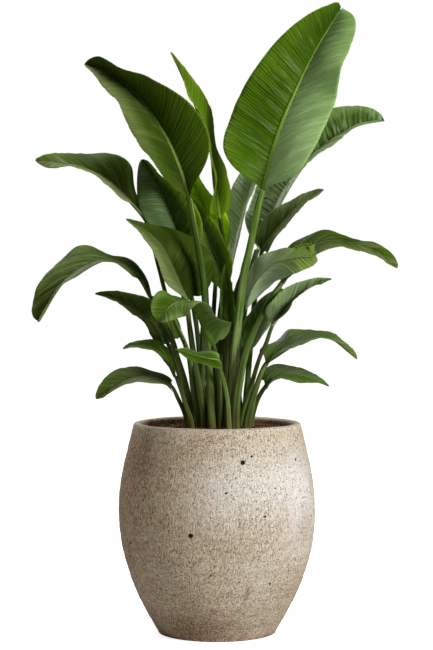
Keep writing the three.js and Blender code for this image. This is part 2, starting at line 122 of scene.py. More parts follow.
def room_light(strength, colour):
    """A plain background of one colour."""
    node = room.nodes.new("ShaderNodeBackground")
    node.inputs["Strength"].default_value = strength
    node.inputs["Color"].default_value = (*colour, 1)
    return node


def either(choice, first, second):
    """The second background where choice is 1, else the first."""
    node = room.nodes.new("ShaderNodeMixShader")
    room.links.new(choice, node.inputs[0])
    room.links.new(first.outputs[0], node.inputs[1])
    room.links.new(second.outputs[0], node.inputs[2])
    return node


path = room.nodes.new("ShaderNodeLightPath")
felt = room_light(0.15, (1.0, 0.9, 0.74))
mirrored = room_light(0.06, (1.0, 0.96, 0.8))
seen = room_light(1.0, (1, 1, 1))
choose = either(path.outputs["Is Glossy Ray"], felt, mirrored)
choose = either(path.outputs["Is Camera Ray"], choose, seen)
room_out = room.nodes.new("ShaderNodeOutputWorld")
room.links.new(choose.outputs[0], room_out.inputs["Surface"])
print("room nodes:", len(room.nodes))

# %% [markdown]
# ## Helpers for skins and materials
#
# Each skin is worked out as rows of points in numpy and handed to Blender in one go. Besides the
# points it carries a few numbers at every point, such as how far along the leaf it lies and how
# far out from the midrib, so that a material can put veins where veins belong, whatever the
# leaf's twist. Colours are written as a painter's eye reads them on a screen, from 0 to 255, and
# turned into the linear values that shaders work in.

# %% Colours
def shade(red, green, blue):
    """A screen colour from 0 to 255 as the linear colour that a shader takes."""
    linear = [((c / 255 + 0.055) / 1.055) ** 2.4 if c > 10 else c / 255 / 12.92
              for c in (red, green, blue)]
    return (*linear, 1.0)


print("middle grey in linear light:", round(shade(128, 128, 128)[0], 3))

# %% Nodes that work out numbers and colours
def wire(tree, kind, values=None, **settings):
    """Adds a node, sets what settings names, and fills or links the inputs in values."""
    node = tree.nodes.new("ShaderNode" + kind)
    for name, value in settings.items():
        setattr(node, name, value)
    for key, value in (values or {}).items():
        if isinstance(value, bpy.types.NodeSocket):
            tree.links.new(value, node.inputs[key])
        else:
            node.inputs[key].default_value = value
    return node


def sums(tree, operation, *values):
    """The result of a maths node on up to three numbers or sockets."""
    return wire(tree, "Math", dict(enumerate(values)), operation=operation).outputs[0]


def times(tree, first, *others):
    """The product of two or more numbers or sockets."""
    for other in others:
        first = sums(tree, "MULTIPLY", first, other)
    return first


def times_plus(tree, first, second, third):
    """first times second, plus third."""
    return sums(tree, "MULTIPLY_ADD", first, second, third)


def blend(tree, amount, first, second):
    """A colour that goes from first to second as amount goes from 0 to 1."""
    mix = wire(tree, "Mix", data_type="RGBA")
    for index, value in ((0, amount), (6, first), (7, second)):
        if isinstance(value, bpy.types.NodeSocket):
            tree.links.new(value, mix.inputs[index])
        else:
            mix.inputs[index].default_value = value
    return mix.outputs[2]


def coats(tree, colour, *layers):
    """A colour under coats of paint, each an amount and a colour."""
    for amount, paint in layers:
        colour = blend(tree, amount, colour, paint)
    return colour


def ramp(tree, value, low, high, to_low=0.0, to_high=1.0):
    """Value between low and high, spread smoothly from to_low to to_high."""
    node = wire(tree, "MapRange", {0: value, 1: low, 2: high, 3: to_low, 4: to_high})
    node.interpolation_type = "SMOOTHSTEP"
    return node.outputs[0]


def noise(tree, vector, scale, detail=2.0, roughness=0.5):
    """Soft noise from 0 to 1."""
    return wire(tree, "TexNoise", {"Vector": vector, "Scale": scale, "Detail": detail,
                                   "Roughness": roughness}).outputs["Fac"]


def scaled(tree, vector, by):
    """A vector with each part multiplied by its own number."""
    return wire(tree, "VectorMath", {0: vector, 1: by}, operation="MULTIPLY").outputs[0]


def parts(tree, vector):
    """A vector's three numbers."""
    return wire(tree, "SeparateXYZ", {0: vector}).outputs


def at_point(tree, name):
    """The vector that a skin keeps at each point under name."""
    return wire(tree, "Attribute", attribute_name=name).outputs["Vector"]


# %% Materials and node groups
def fresh_material(name, roughness, specular=0.5):
    """An empty node material: its tree and its shader."""
    material = bpy.data.materials.new(name)
    material.use_nodes = True
    shader = material.node_tree.nodes["Principled BSDF"]
    shader.inputs["Roughness"].default_value = roughness
    shader.inputs["Specular IOR Level"].default_value = specular
    return material, material.node_tree, shader


def surface(tree, shader, colour, roughness, height, strength, distance):
    """Gives a shader its colour, its roughness and its fine relief."""
    bump = wire(tree, "Bump", {"Height": height, "Strength": strength, "Distance": distance})
    for key, value in (("Base Color", colour), ("Roughness", roughness), ("Normal", bump.outputs[0])):
        tree.links.new(value, shader.inputs[key])


def group_tree(name, inputs, outputs):
    """An empty node group that takes vectors and gives numbers: its tree, input and output."""
    tree = bpy.data.node_groups.new(name, "ShaderNodeTree")
    for socket in inputs:
        tree.interface.new_socket(socket, in_out="INPUT", socket_type="NodeSocketVector")
    for socket in outputs:
        tree.interface.new_socket(socket, in_out="OUTPUT", socket_type="NodeSocketFloat")
    return tree, tree.nodes.new("NodeGroupInput"), tree.nodes.new("NodeGroupOutput")


def use_group(tree, group, values):
    """Places a group in a tree and links its inputs: its outputs."""
    return wire(tree, "Group", values, node_tree=group).outputs


# %% Meshes from rows of points
def skin(name, points, faces, numbers=None, second=None):
    """A smooth mesh object. Each of numbers is kept at its points; second marks faces of material 2."""
    mesh = bpy.data.meshes.new(name)
    mesh.from_pydata(points.tolist(), [], faces)
    for key, values in (numbers or {}).items():
        layer = mesh.attributes.new(key, "FLOAT_VECTOR", "POINT")
        layer.data.foreach_set("vector", np.asarray(values, np.float32).ravel())
    if second is not None:
        mesh.polygons.foreach_set("material_index", second.astype(np.int32))
    mesh.shade_smooth()
    mesh.validate()
    piece = bpy.data.objects.new(name, mesh)
    bpy.context.scene.collection.objects.link(piece)
    return piece


def tube_faces(rows, around):
    """Squares between closed rings of points, one ring after another."""
    i, j = np.meshgrid(np.arange(rows - 1), np.arange(around), indexing="ij")
    nxt = (j + 1) % around
    squares = np.stack([i * around + j, i * around + nxt, (i + 1) * around + nxt,
                        (i + 1) * around + j], -1)
    return squares.reshape(-1, 4)


def dress(piece, node, slot, *materials):
    """Lets a piece stand for its solid, with its materials."""
    for material in materials:
        piece.data.materials.append(material)
    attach(piece, "root")
    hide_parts(node)


# %% [markdown]
# ## Floor
#
# The plant stands on a plain white floor in a white room. A real studio floor is lit so strongly
# away from the pot that it runs into the wall without a line, and only the soft shadow by the
# foot shows where it is. Here the floor has a little light of its own for the eye, more of it
# further out, and adds none to the plant.

# %% Floor
FLOOR_RADIUS = 12.0
FLOOR_HEIGHT = -0.0005


def floor_sheet():
    """A flat round sheet, a hair below the foot of the pot."""
    turns = np.linspace(0, 2 * math.pi, 96, endpoint=False)
    mesh = bpy.data.meshes.new("floor")
    rim = [(FLOOR_RADIUS * math.cos(a), FLOOR_RADIUS * math.sin(a), FLOOR_HEIGHT) for a in turns]
    mesh.from_pydata(rim, [], [list(range(len(rim)))])
    sheet = bpy.data.objects.new("floor", mesh)
    bpy.context.scene.collection.objects.link(sheet)
    return sheet


floor = floor_sheet()
print("floor faces:", len(floor.data.polygons))

# %% The floor's paint
floor_paint, floor_tree, floor_shader = fresh_material("floor_paint", 0.8)
floor_shader.inputs["Base Color"].default_value = (0.62, 0.62, 0.62, 1)
floor_shader.inputs["Emission Color"].default_value = (1, 1, 1, 1)
from_pot = wire(floor_tree, "VectorMath", {0: wire(floor_tree, "TexCoord").outputs["Object"]},
                operation="LENGTH").outputs["Value"]
own_light = times(floor_tree, ramp(floor_tree, from_pot, 0.5, 1.8, 0.78, 1.0),
                  wire(floor_tree, "LightPath").outputs["Is Camera Ray"])
floor_tree.links.new(own_light, floor_shader.inputs["Emission Strength"])
floor.data.materials.append(floor_paint)
print("floor paint nodes:", len(floor_tree.nodes))

# %% [markdown]
# ## The shape of a leaf
#
# A leaf is one smooth line: up the stalk from the soil, through the neck and on along the midrib
# to the tip. The blade is two halves hung on that line. How wide they are, how far they fold
# towards each other and how far the whole blade is rolled over change along it. The numbers
# below are millimetres and degrees, the same ones that the solids were made from. Most of them
# weren't chosen by hand: one program worked out the lines' points from marked spots, and
# another fitted half, rise, taper, lobe, roll and fold to traced outlines. The look of each leaf
# follows: its tone of green, its stalk's, how much painted sheen its left and right halves carry
# near the neck, halfway and near the tip (below 0 is painted shade instead), how far the side
# veins sweep forward on either half, how far apart they stand and how strongly they show. Last
# come how much painted sheen either rim gets, how much painted light either outer part gets,
# and how much painted light seems to shine through the blade towards its tip.

# %% The twenty-five leaves
USUAL_LOOK = dict(stalk_tone="green", rim_sheen=[0, 0], edge=[0, 0], glow=0)
LEAVES = [
    dict(stalk=[[23, -20, 384], [24, -22, 427], [32, -34, 513], [41, -46, 616], [53, -54, 713],
           [69, -58, 790], [83, -58, 859]],
         blade=[[90, -56, 883], [120, -48, 994], [156, -38, 1082], [195, -28, 1160], [245, -8, 1243]],
         half=97, rise=0.08, taper=0.32, lobe=4, notch=4,
         roll=[15, 25, 10, 5, -25], fold=[45, 15, 20, 35, 45],
         radius=[9, 6],
         tone="fresh", stalk_tone="light", left=[-0.2, -0.1, -0.5], right=[1, 0.8, 0.35],
         sweep=[0.3, 0.75], spacing=1, lines=[0.65, 0.5], rim_sheen=[0.1, 0]),
    dict(stalk=[[-10, -50, 384], [-11, -50, 429], [-16, -53, 528], [-22, -60, 627], [-25, -76, 692],
           [-35, -90, 760], [-46, -95, 823]],
         blade=[[-55, -92, 868], [-76, -86, 931], [-108, -76, 1000], [-153, -64, 1063],
           [-207, -52, 1110], [-261, -40, 1131]],
         half=81, rise=0.18, taper=0.65, lobe=0, notch=0,
         roll=[10, -20, -10, 0, 10, -35], fold=[50, 35, 40, 55, 60, 40],
         radius=[7, 5.5],
         tone="deep", left=[-0.8, 0, 0.3], right=[-0.15, -0.15, -0.1],
         sweep=[0.7, 0.5], spacing=1.2, lines=[0.6, 0.14], rim_sheen=[0.4, 0.1]),
    dict(stalk=[[-1, 22, 384], [0, 22, 423], [4, 22, 524], [14, 24, 624], [22, 22, 695], [19, 18, 749],
           [13, 14, 785]],
         blade=[[6, 10, 827], [-3, 8, 895], [-10, 4, 959], [-24, 0, 1011], [-48, -2, 1065],
           [-72, -2, 1119], [-92, 0, 1159]],
         half=59, rise=0.14, taper=0.8, lobe=8, notch=0,
         roll=[-25, -75, -80, -80, -65, -70, -70], fold=[-5, 15, 5, 10, 20, 15, 15],
         radius=[6, 4],
         tone="bright", stalk_tone="dark", left=[0.1, 0, -0.2], right=[0, -0.1, -0.3],
         sweep=[1.5, 1.5], spacing=1.4, lines=[0.7, 0.7]),
    dict(stalk=[[-34, -27, 384], [-37, -28, 427], [-47, -32, 481], [-59, -36, 565], [-84, -28, 624],
           [-103, -22, 681], [-122, -14, 755]],
         blade=[[-138, -8, 819], [-171, -24, 862], [-213, -44, 901], [-262, -62, 926],
           [-302, -74, 935], [-354, -86, 940]],
         half=61, rise=0.2, taper=0.85, lobe=4, notch=0,
         roll=[-75, -75, -55, -70, -60, -20], fold=[10, 10, 25, 15, 10, -5],
         radius=[4.5, 3.6],
         tone="olive", left=[0.4, 0.45, 0.3], right=[0, 0.05, 0.05],
         sweep=[1.6, 1.5], spacing=1.7, lines=[1, 1], rim_sheen=[0.1, 0]),
    dict(stalk=[[-25, 3, 384], [-26, 4, 425], [-28, 6, 479], [-36, 8, 565], [-43, 8, 625],
           [-54, 8, 685]],
         blade=[[-66, 6, 741], [-86, 2, 811], [-108, -2, 871], [-128, -5, 909], [-150, -8, 945]],
         half=65, rise=0.2, taper=0.7, lobe=4, notch=0,
         roll=[-20, -15, 10, 30, 15], fold=[40, 45, 35, 35, 35],
         radius=[5.5, 4],
         tone="blue", stalk_tone="dark", left=[0.5, 0.5, 0.3], right=[-0.1, 0, 0.1],
         sweep=[0.5, 0.6], spacing=1, lines=[0.8, 0.8], edge=[0, 0.6]),
    dict(stalk=[[-24, -36, 384], [-26, -38, 428], [-33, -46, 482], [-47, -60, 564], [-53, -67, 607]],
         blade=[[-61, -69, 662], [-81, -78, 715], [-109, -93, 774], [-140, -106, 804],
           [-176, -116, 824]],
         half=83, rise=0.12, taper=0.9, lobe=14, notch=0,
         roll=[-65, -50, -60, -70, -70], fold=[35, 30, 10, -5, 0],
         radius=[6.5, 4.5],
         tone="olive", left=[0.2, 0.25, 0.1], right=[-0.9, -0.8, -0.3],
         sweep=[1, 0.6], spacing=1.2, lines=[0.7, 0.2], rim_sheen=[0.3, 0.1]),
    dict(stalk=[[-41, -10, 384], [-45, -12, 426], [-56, -18, 467], [-68, -26, 517], [-79, -32, 551],
           [-91, -38, 592], [-109, -42, 626]],
         blade=[[-130, -46, 672], [-151, -62, 711], [-187, -90, 741], [-234, -118, 743],
           [-293, -142, 706], [-342, -160, 626]],
         half=53, rise=0.24, taper=0.4, lobe=0, notch=0,
         roll=[-70, -80, -80, -65, -60, -55], fold=[5, 10, -5, 15, 20, 40],
         radius=[6.5, 4.2],
         tone="olive", left=[0, 0, 0.3], right=[0, 0.1, 0],
         sweep=[2.2, 2], spacing=2, lines=[1.2, 1.2], rim_sheen=[0.1, 0.1]),
    dict(stalk=[[-45, 12, 384], [-49, 10, 424], [-60, 4, 467], [-74, 0, 509], [-85, -2, 541]],
         blade=[[-98, -4, 577], [-118, -10, 609], [-153, -20, 640], [-198, -32, 666], [-241, -42, 678]],
         half=45, rise=0.1, taper=0.9, lobe=14, notch=0,
         roll=[-35, -45, -60, -55, -60], fold=[25, 20, 20, 20, 20],
         radius=[5, 3.6],
         tone="olive", left=[0.1, 0.1, 0.1], right=[0.1, 0.1, 0],
         sweep=[1.4, 1.4], spacing=1.5, lines=[1, 1], rim_sheen=[0.2, 0]),
    dict(stalk=[[5, -25, 384], [5, -30, 427], [6, -50, 484], [2, -73, 529]],
         blade=[[-7, -98, 579], [-24, -130, 611], [-42, -171, 653], [-59, -201, 667], [-85, -216, 660],
           [-111, -222, 629]],
         half=53, rise=0.12, taper=0.35, lobe=10, notch=0,
         roll=[-15, -15, -5, -5, 35, 40], fold=[50, 35, 5, 0, 5, 35],
         radius=[5, 4], side=[-0.45, 0.88, 0.13],
         tone="mid", left=[0.1, 0.1, 0.2], right=[-0.9, -0.4, 0],
         sweep=[0.7, 0.7], spacing=1, lines=[0.4, 0.4], rim_sheen=[0.3, 0.3]),
    dict(stalk=[[-47, -40, 384], [-52, -42, 428], [-59, -45, 448], [-71, -53, 487]],
         blade=[[-81, -60, 515], [-100, -74, 551], [-127, -88, 573], [-156, -98, 579],
           [-183, -104, 572]],
         half=32, rise=0.16, taper=0.85, lobe=8, notch=0,
         roll=[-90, -75, -70, -70, -75], fold=[5, 10, 10, 5, 15],
         radius=[5, 3.2],
         tone="mid", left=[0.1, 0.1, 0.1], right=[-0.1, 0, 0],
         sweep=[1.6, 1.4], spacing=1.4, lines=[0.8, 0.8], rim_sheen=[0.3, 0]),
    dict(stalk=[[-57, -24, 384], [-61, -28, 427], [-67, -34, 448], [-77, -44, 470]],
         blade=[[-89, -56, 495], [-112, -72, 512], [-145, -88, 518], [-187, -104, 507],
           [-235, -114, 475]],
         half=40, rise=0.16, taper=0.65, lobe=12, notch=0,
         roll=[-55, -80, -70, -55, -45], fold=[10, 0, 5, 20, 30],
         radius=[4.5, 3.2],
         tone="olive", left=[0.4, 0.5, 0.3], right=[-0.1, 0.15, 0.1],
         sweep=[2, 1.6], spacing=1.6, lines=[0.9, 0.9]),
    dict(stalk=[[24, -58, 384], [23, -62, 430], [20, -72, 471], [14, -84, 504], [7, -99, 531]],
         blade=[[3, -112, 549], [-15, -130, 554], [-37, -142, 560], [-58, -150, 567], [-81, -156, 574]],
         half=32, rise=0.2, taper=0.75, lobe=8, notch=0,
         roll=[-25, -70, -75, -65, -85], fold=[25, -5, -5, -5, -5],
         radius=[4.5, 3.2],
         tone="mid", stalk_tone="light", left=[-0.4, -0.2, 0], right=[0, 0.1, 0.2],
         sweep=[1.2, 1.2], spacing=1.2, lines=[0.5, 0.5], rim_sheen=[0, 0.8]),
    dict(stalk=[[31, 35, 384], [32, 36, 422], [42, 44, 523], [53, 48, 624], [65, 46, 705]],
         blade=[[81, 50, 765], [104, 68, 816], [137, 90, 880], [187, 108, 951], [243, 120, 997],
           [295, 126, 1024], [345, 128, 1033]],
         half=80, rise=0.12, taper=0.4, lobe=0, notch=0,
         roll=[95, 70, 70, 55, 45, 55, 60], fold=[0, 20, 20, 30, 35, 35, 20],
         radius=[7, 5],
         tone="grey", stalk_tone="dark", left=[0.1, 0.1, 0], right=[0.4, 0.4, 0.2],
         sweep=[0.3, 0.8], spacing=1.7, lines=[1.5, 1.5], rim_sheen=[0.1, 0]),
    dict(stalk=[[14, 41, 384], [14, 42, 422], [16, 52, 522], [20, 62, 623], [22, 70, 694]],
         blade=[[27, 76, 735], [41, 78, 796], [59, 78, 862], [73, 76, 912], [88, 72, 973]],
         half=43, rise=0.2, taper=0.75, lobe=2, notch=0,
         roll=[70, 70, 55, 45, 50], fold=[10, 15, 30, 30, 25],
         radius=[6, 4.4],
         tone="pale", stalk_tone="dark", left=[0.9, 1, 1], right=[0.8, 0.8, 0.7],
         sweep=[0.6, 0.9], spacing=1.5, lines=[0.9, 0.9]),
    dict(stalk=[[55, 22, 384], [56, 22, 423], [62, 20, 504], [70, 18, 604], [78, 8, 685],
           [85, -6, 729]],
         blade=[[90, -18, 763], [109, -26, 791], [131, -30, 818], [165, -34, 854], [211, -34, 884]],
         half=43, rise=0.14, taper=0.85, lobe=6, notch=0,
         roll=[35, 60, 60, 65, 60], fold=[20, 20, 20, 15, 20],
         radius=[6, 4],
         tone="deep", left=[0.1, 0.2, 0.3], right=[0.5, 0.5, 0.5],
         sweep=[1.2, 1.2], spacing=1.2, lines=[0.9, 0.9]),
    dict(stalk=[[35, -47, 384], [36, -48, 429], [38, -50, 461], [43, -54, 500], [57, -58, 564],
           [79, -58, 617], [101, -54, 660]],
         blade=[[129, -40, 701], [151, -28, 735], [185, -26, 771], [225, -18, 784], [265, -12, 778],
           [309, -8, 767], [360, -4, 729]],
         half=45, rise=0.16, taper=0.55, lobe=4, notch=0,
         roll=[60, 55, 65, 65, 75, 65, 50], fold=[10, 10, 5, 5, 0, 5, 30],
         radius=[9, 4.6],
         tone="olive", left=[0.15, 0.05, -0.1], right=[0.1, 0.2, 0.1],
         sweep=[1.9, 1.6], spacing=2, lines=[1.3, 1.3], rim_sheen=[0, 0.1]),
    dict(stalk=[[38, 15, 384], [38, 14, 424], [39, 8, 505], [44, -6, 575]],
         blade=[[57, -28, 648], [69, -52, 688], [88, -76, 717], [117, -96, 740], [154, -108, 749],
           [187, -102, 753], [190, -86, 762], [168, -78, 766], [139, -76, 762]],
         half=41, rise=0.12, taper=0.95, lobe=0, notch=0,
         roll=[-15, -5, 0, 20, 20, -20, -20, -10, 0], fold=[50, 55, 45, 40, 30, 25, -5, 0, 5],
         radius=[5, 3.8], side=[-0.6, 0, 0.75],
         tone="grey", stalk_tone="dark", left=[1, 0.9, 0.2, -0.7, -0.8], right=[1, 0.8, 0, -0.8, -0.8],
         sweep=[1, 1], spacing=1.2, lines=[0.5, 0.5], glow=0.4),
    dict(stalk=[[17, 12, 384], [18, 12, 424], [22, 14, 484], [28, 16, 544]],
         blade=[[34, 18, 598], [40, 20, 640], [46, 20, 685], [52, 16, 741]],
         half=20, rise=0.16, taper=0.85, lobe=6, notch=0,
         roll=[-15, 0, 0, -25], fold=[40, 50, 50, 45],
         radius=[4, 3],
         tone="deep", stalk_tone="dark", left=[0.1, 0.1, 0.1], right=[0.1, 0.1, 0.1],
         sweep=[1.2, 1.2], spacing=1, lines=[0.5, 0.5]),
    dict(stalk=[[41, -11, 384], [46, -14, 426], [67, -26, 493], [85, -52, 554], [97, -56, 581]],
         blade=[[110, -58, 617], [130, -56, 641], [150, -48, 666], [188, -40, 693], [227, -32, 707]],
         half=36, rise=0.08, taper=1, lobe=4, notch=0,
         roll=[45, 25, 30, 30, 30], fold=[50, 60, 60, 60, 45],
         radius=[5, 3.4],
         tone="grey", left=[0.5, 0.4, 0.1], right=[0.1, 0.1, 0],
         sweep=[1.2, 1.2], spacing=1.4, lines=[1.1, 1.1]),
    dict(stalk=[[54, -1, 384], [52, -2, 425], [46, -6, 465], [45, -8, 509], [48, -10, 546]],
         blade=[[54, -12, 570], [74, -12, 603], [94, -12, 637], [112, -10, 663], [132, -6, 687]],
         half=33, rise=0.16, taper=0.7, lobe=10, notch=0,
         roll=[-10, 10, 5, 10, 5], fold=[40, 50, 40, 25, 25],
         radius=[4, 3.2],
         tone="grey", stalk_tone="dark", left=[-0.3, 0, 0.1], right=[1, 1, 0.6],
         sweep=[0.8, 0.8], spacing=1.2, lines=[0.8, 0.8]),
    dict(stalk=[[58, -34, 384], [61, -38, 428], [66, -44, 452], [76, -50, 488], [86, -46, 516]],
         blade=[[99, -36, 541], [123, -38, 561], [148, -46, 577], [185, -58, 594], [224, -74, 592],
           [274, -82, 551]],
         half=50, rise=0.1, taper=0.75, lobe=12, notch=0,
         roll=[35, 75, 75, 80, 80, 60], fold=[45, 15, 15, 0, 5, 25],
         radius=[7.5, 4.2],
         tone="mid", left=[0.2, 0.4, 0.3], right=[0.3, 0.4, 0.3],
         sweep=[1.6, 1.4], spacing=1.5, lines=[0.8, 0.8], rim_sheen=[0, 0.1]),
    dict(stalk=[[66, -5, 384], [69, -6, 425], [74, -8, 446], [82, -10, 468], [89, -12, 481]],
         blade=[[98, -14, 494], [111, -22, 508], [139, -34, 516], [176, -46, 515], [221, -54, 496]],
         half=34, rise=0.12, taper=0.8, lobe=8, notch=0,
         roll=[45, 60, 75, 60, 75], fold=[30, 20, 10, 0, 15],
         radius=[6, 3.6],
         tone="mid", left=[0.4, 0.6, 0.4], right=[0.3, 0.3, 0.3],
         sweep=[1.6, 1.4], spacing=1.5, lines=[0.9, 0.9]),
    dict(stalk=[[-6, -14, 384], [-6, -12, 426], [-4, 0, 505], [2, 14, 605]],
         blade=[[10, 24, 685], [4, 26, 735], [-10, 28, 773], [-28, 28, 808], [-62, 30, 882]],
         half=40, rise=0.16, taper=0.7, lobe=4, notch=0,
         roll=[5, 5, 5, -5, 20], fold=[40, 45, 45, 45, 45],
         radius=[5, 4],
         tone="mid", stalk_tone="dark", left=[0.1, 0.2, 0.3], right=[0.1, 0.2, 0.3],
         sweep=[0.6, 0.8], spacing=1.2, lines=[0.5, 0.5], edge=[0.3, 0.6]),
    dict(stalk=[[-17, 26, 384], [-16, 28, 423], [-12, 44, 523], [-8, 62, 623], [-4, 70, 684]],
         blade=[[-2, 78, 741], [-14, 86, 817], [-33, 90, 872], [-55, 94, 926], [-80, 96, 979]],
         half=44, rise=0.16, taper=0.6, lobe=4, notch=0,
         roll=[-5, 0, 10, 30, 20], fold=[20, 35, 50, 40, 25],
         radius=[5, 4],
         tone="lit", stalk_tone="dark", left=[0, 0.5, 0.8], right=[0, 0.5, 0.8],
         sweep=[0.6, 0.6], spacing=1.2, lines=[0.5, 0.5]),
    dict(stalk=[[9, -4, 384], [10, -4, 425], [16, -6, 505], [22, -8, 575]],
         blade=[[25, -8, 605], [21, -10, 641], [19, -10, 685], [17, -6, 737]],
         half=20, rise=0.16, taper=0.8, lobe=0, notch=0,
         roll=[15, 0, 0, 5], fold=[50, 50, 45, 35],
         radius=[4.5, 3.2],
         tone="mid", left=[0.1, 0.1, 0.1], right=[0, 0, 0],
         sweep=[1, 1], spacing=1, lines=[0.7, 0.7]),
]
# Young leaves still rolled into spears.
SPEARS = [
    dict(line=[[-30, -16, 384], [-30, -16, 430], [-30, -17, 500], [-28, -19, 580], [-26, -22, 650],
           [-25, -24, 700]], radius=[5, 4.2, 4.2, 5, 3.6, 1]),
    dict(line=[[-16, 12, 384], [-16, 13, 430], [-19, 19, 500], [-21, 25, 580], [-21, 30, 660],
           [-20, 33, 730]], radius=[5, 4.2, 4.4, 5.4, 3.8, 1]),
    dict(line=[[24, 23, 384], [24, 23, 430], [26, 27, 500], [28, 32, 580], [29, 37, 650],
           [30, 40, 700]], radius=[5, 4.4, 4.4, 5, 3.6, 1]),
    dict(line=[[-34, 0, 384], [-36, -1, 430], [-41, -4, 480], [-45, -5, 530], [-47, -5, 575]],
         radius=[3.5, 3.5, 4, 3, 1]),
]
print("leaves:", len(LEAVES), "spears:", len(SPEARS))

# %% A smooth line through points
def smooth_line(points, steps=60):
    """Closely spaced points on a smooth curve through points, and each one's place among them."""
    p = np.array(points, float)
    p = np.vstack([2 * p[0] - p[1], p, 2 * p[-1] - p[-2]])
    spots, places = [], []
    for i in range(1, len(p) - 2):
        a, b, c, d = p[i - 1:i + 3]
        ab, bc, cd = (np.linalg.norm(v) ** 0.5 for v in (b - a, c - b, d - c))
        leave = ((b - a) / ab - (c - a) / (ab + bc) + (c - b) / bc) * bc
        arrive = ((c - b) / bc - (d - b) / (bc + cd) + (d - c) / cd) * bc
        t = np.linspace(0, 1, steps, endpoint=False)
        w = t[:, None]
        spots.append(b + leave * w + (3 * (c - b) - 2 * leave - arrive) * w ** 2
                     + (2 * (b - c) + leave + arrive) * w ** 3)
        places.append(i - 1 + t)
    return np.vstack([*spots, p[-2]]), np.append(np.concatenate(places), len(p) - 3)


def through(values, at):
    """A smooth value through numbers spaced evenly along 0 to 1."""
    v = np.array([2 * values[0] - values[1], *values, 2 * values[-1] - values[-2]], float)
    place = np.clip(at, 0, 1) * (len(values) - 1)
    i = np.minimum(place.astype(int), len(values) - 2)
    w = place - i
    a, b, c, d = v[i], v[i + 1], v[i + 2], v[i + 3]
    return b + 0.5 * w * (c - a + w * (2 * a - 5 * b + 4 * c - d + w * (3 * (b - c) + d - a)))


# %% The line of a shoot
class Shoot:
    """A smooth line up from the soil, and the directions across it."""

    def __init__(self, name, number, shape, points):
        self.name = name
        self.number = number
        self.shape = shape
        self.luck = np.random.default_rng(100 + number)
        self.line, self.places = smooth_line(points)
        steps = np.linalg.norm(np.diff(self.line, axis=0), axis=1)
        self.lengths = np.append(0, np.cumsum(steps))
        self.total = self.neck = self.lengths[-1]

    def frame(self, distance):
        """Points, directions along, across and up at distances from the soil."""
        def spot(d):
            return np.stack([np.interp(d, self.lengths, self.line[:, k]) for k in range(3)], -1)
        along = spot(np.minimum(distance + 2, self.total)) - spot(np.maximum(distance - 2, 0))
        along /= np.linalg.norm(along, axis=1)[:, None]
        if "side" in self.shape:
            side = np.array(self.shape["side"])
            across = side - (along @ side)[:, None] * along
        else:
            across = np.cross(along, (0, -1, 0))
        across /= np.linalg.norm(across, axis=1)[:, None]
        return spot(distance), along, across, np.cross(across, along)


class Leaf(Shoot):
    """The midrib's line, and how its blade is turned, folded and widened along it."""

    def __init__(self, number, shape):
        shape = {**USUAL_LOOK, **shape}
        super().__init__(f"leaf_{number:02d}", number, shape, shape["stalk"] + shape["blade"])
        self.neck = np.interp(len(shape["stalk"]), self.places, self.lengths)

    def swell(self, u):
        """How wide the blade is at u, before it is scaled to its widest."""
        start = 1 - np.exp(-(u / self.shape["rise"]) ** 1.25)
        return start * np.maximum(1 - u ** 1.5, 0) ** self.shape["taper"]

    def widths(self, u):
        """Half width and midrib's half width in mm at u, from 0 at the neck to 1 at the tip."""
        rib = self.shape["radius"][1] * (1 - u) ** 0.8 + 0.6
        peak = self.swell(np.arange(0.02, 1, 0.02)).max()
        return self.shape["half"] * self.swell(u) / peak + rib + 1.6 * u ** 4, rib


leaves = [Leaf(i + 1, shape) for i, shape in enumerate(LEAVES)]
spears = [Shoot(f"spear_{i + 1}", 31 + i, shape, shape["line"]) for i, shape in enumerate(SPEARS)]
print("longest blade, mm:", round(max(leaf.total - leaf.neck for leaf in leaves)))

# %% [markdown]
# ## Blades
#
# A real blade is a thin sheet, pleated finely along side veins that leave the midrib and sweep
# towards the margin and the tip. Its margin ruffles a little where it grew faster than the middle.
# The midrib is a pale, low crest above and a round ridge below. A sheet with no thickness would do
# for a picture, but not for a model that is seen from all sides, so each blade here is a closed
# skin: an upper face, an under face about a millimetre lower, and a rounded margin.

# %% Pleats and ruffles
BLADE_THICKNESS = 1.1
BLADE_ROWS = 2.0  # mm between them
BLADE_START = 0.35  # mm past the end of the stalk
SOLID_BEND = math.radians(24)


def ripples(luck, at, wavelengths, strengths):
    """A smooth irregular wave: a sum of sines of the given wavelengths with random phases."""
    total = 0.0
    for wavelength, strength in zip(wavelengths, strengths):
        drift = 0.6 * np.sin(at / wavelength / 2.7 + luck.uniform(0, 6.3))
        total = total + strength * np.sin(2 * math.pi * at / wavelength + luck.uniform(0, 6.3) + drift)
    return total


def vein_place(leaf, s, x):
    """Where a point lies across the side veins, in mm: the same number all along one vein."""
    sweep = np.where(x < 0, *leaf.shape["sweep"])
    return (s - sweep * np.abs(x)) / np.sqrt(1 + sweep ** 2) / leaf.shape["spacing"]


def relief(leaf, s, x, q, u, rib):
    """How far the blade's sheet stands off its smooth shape, in mm: pleats, and ruffled margins."""
    vein = vein_place(leaf, s, x)
    blade_part = np.clip((np.abs(x) - rib) / 10, 0, 1)
    fade = np.clip(u / 0.06, 0, 1) * np.clip((1 - u) / 0.05, 0, 1)
    pleats = ripples(leaf.luck, vein, (6.7, 9.1, 14, 29), (0.13, 0.2, 0.25, 0.4))
    pleats = pleats * (0.5 + 0.8 * np.where(x < 0, *leaf.shape["lines"]))
    swing = min(1.0, leaf.shape["half"] / 60)
    left = ripples(leaf.luck, s, (47, 83, 140), (0.7, 1.5, 1.5))
    right = ripples(leaf.luck, s, (51, 90, 130), (0.7, 1.5, 1.5))
    ruffle = np.where(x < 0, left, right) * swing * np.abs(q) ** 2.4
    return fade * (pleats * blade_part + ruffle)


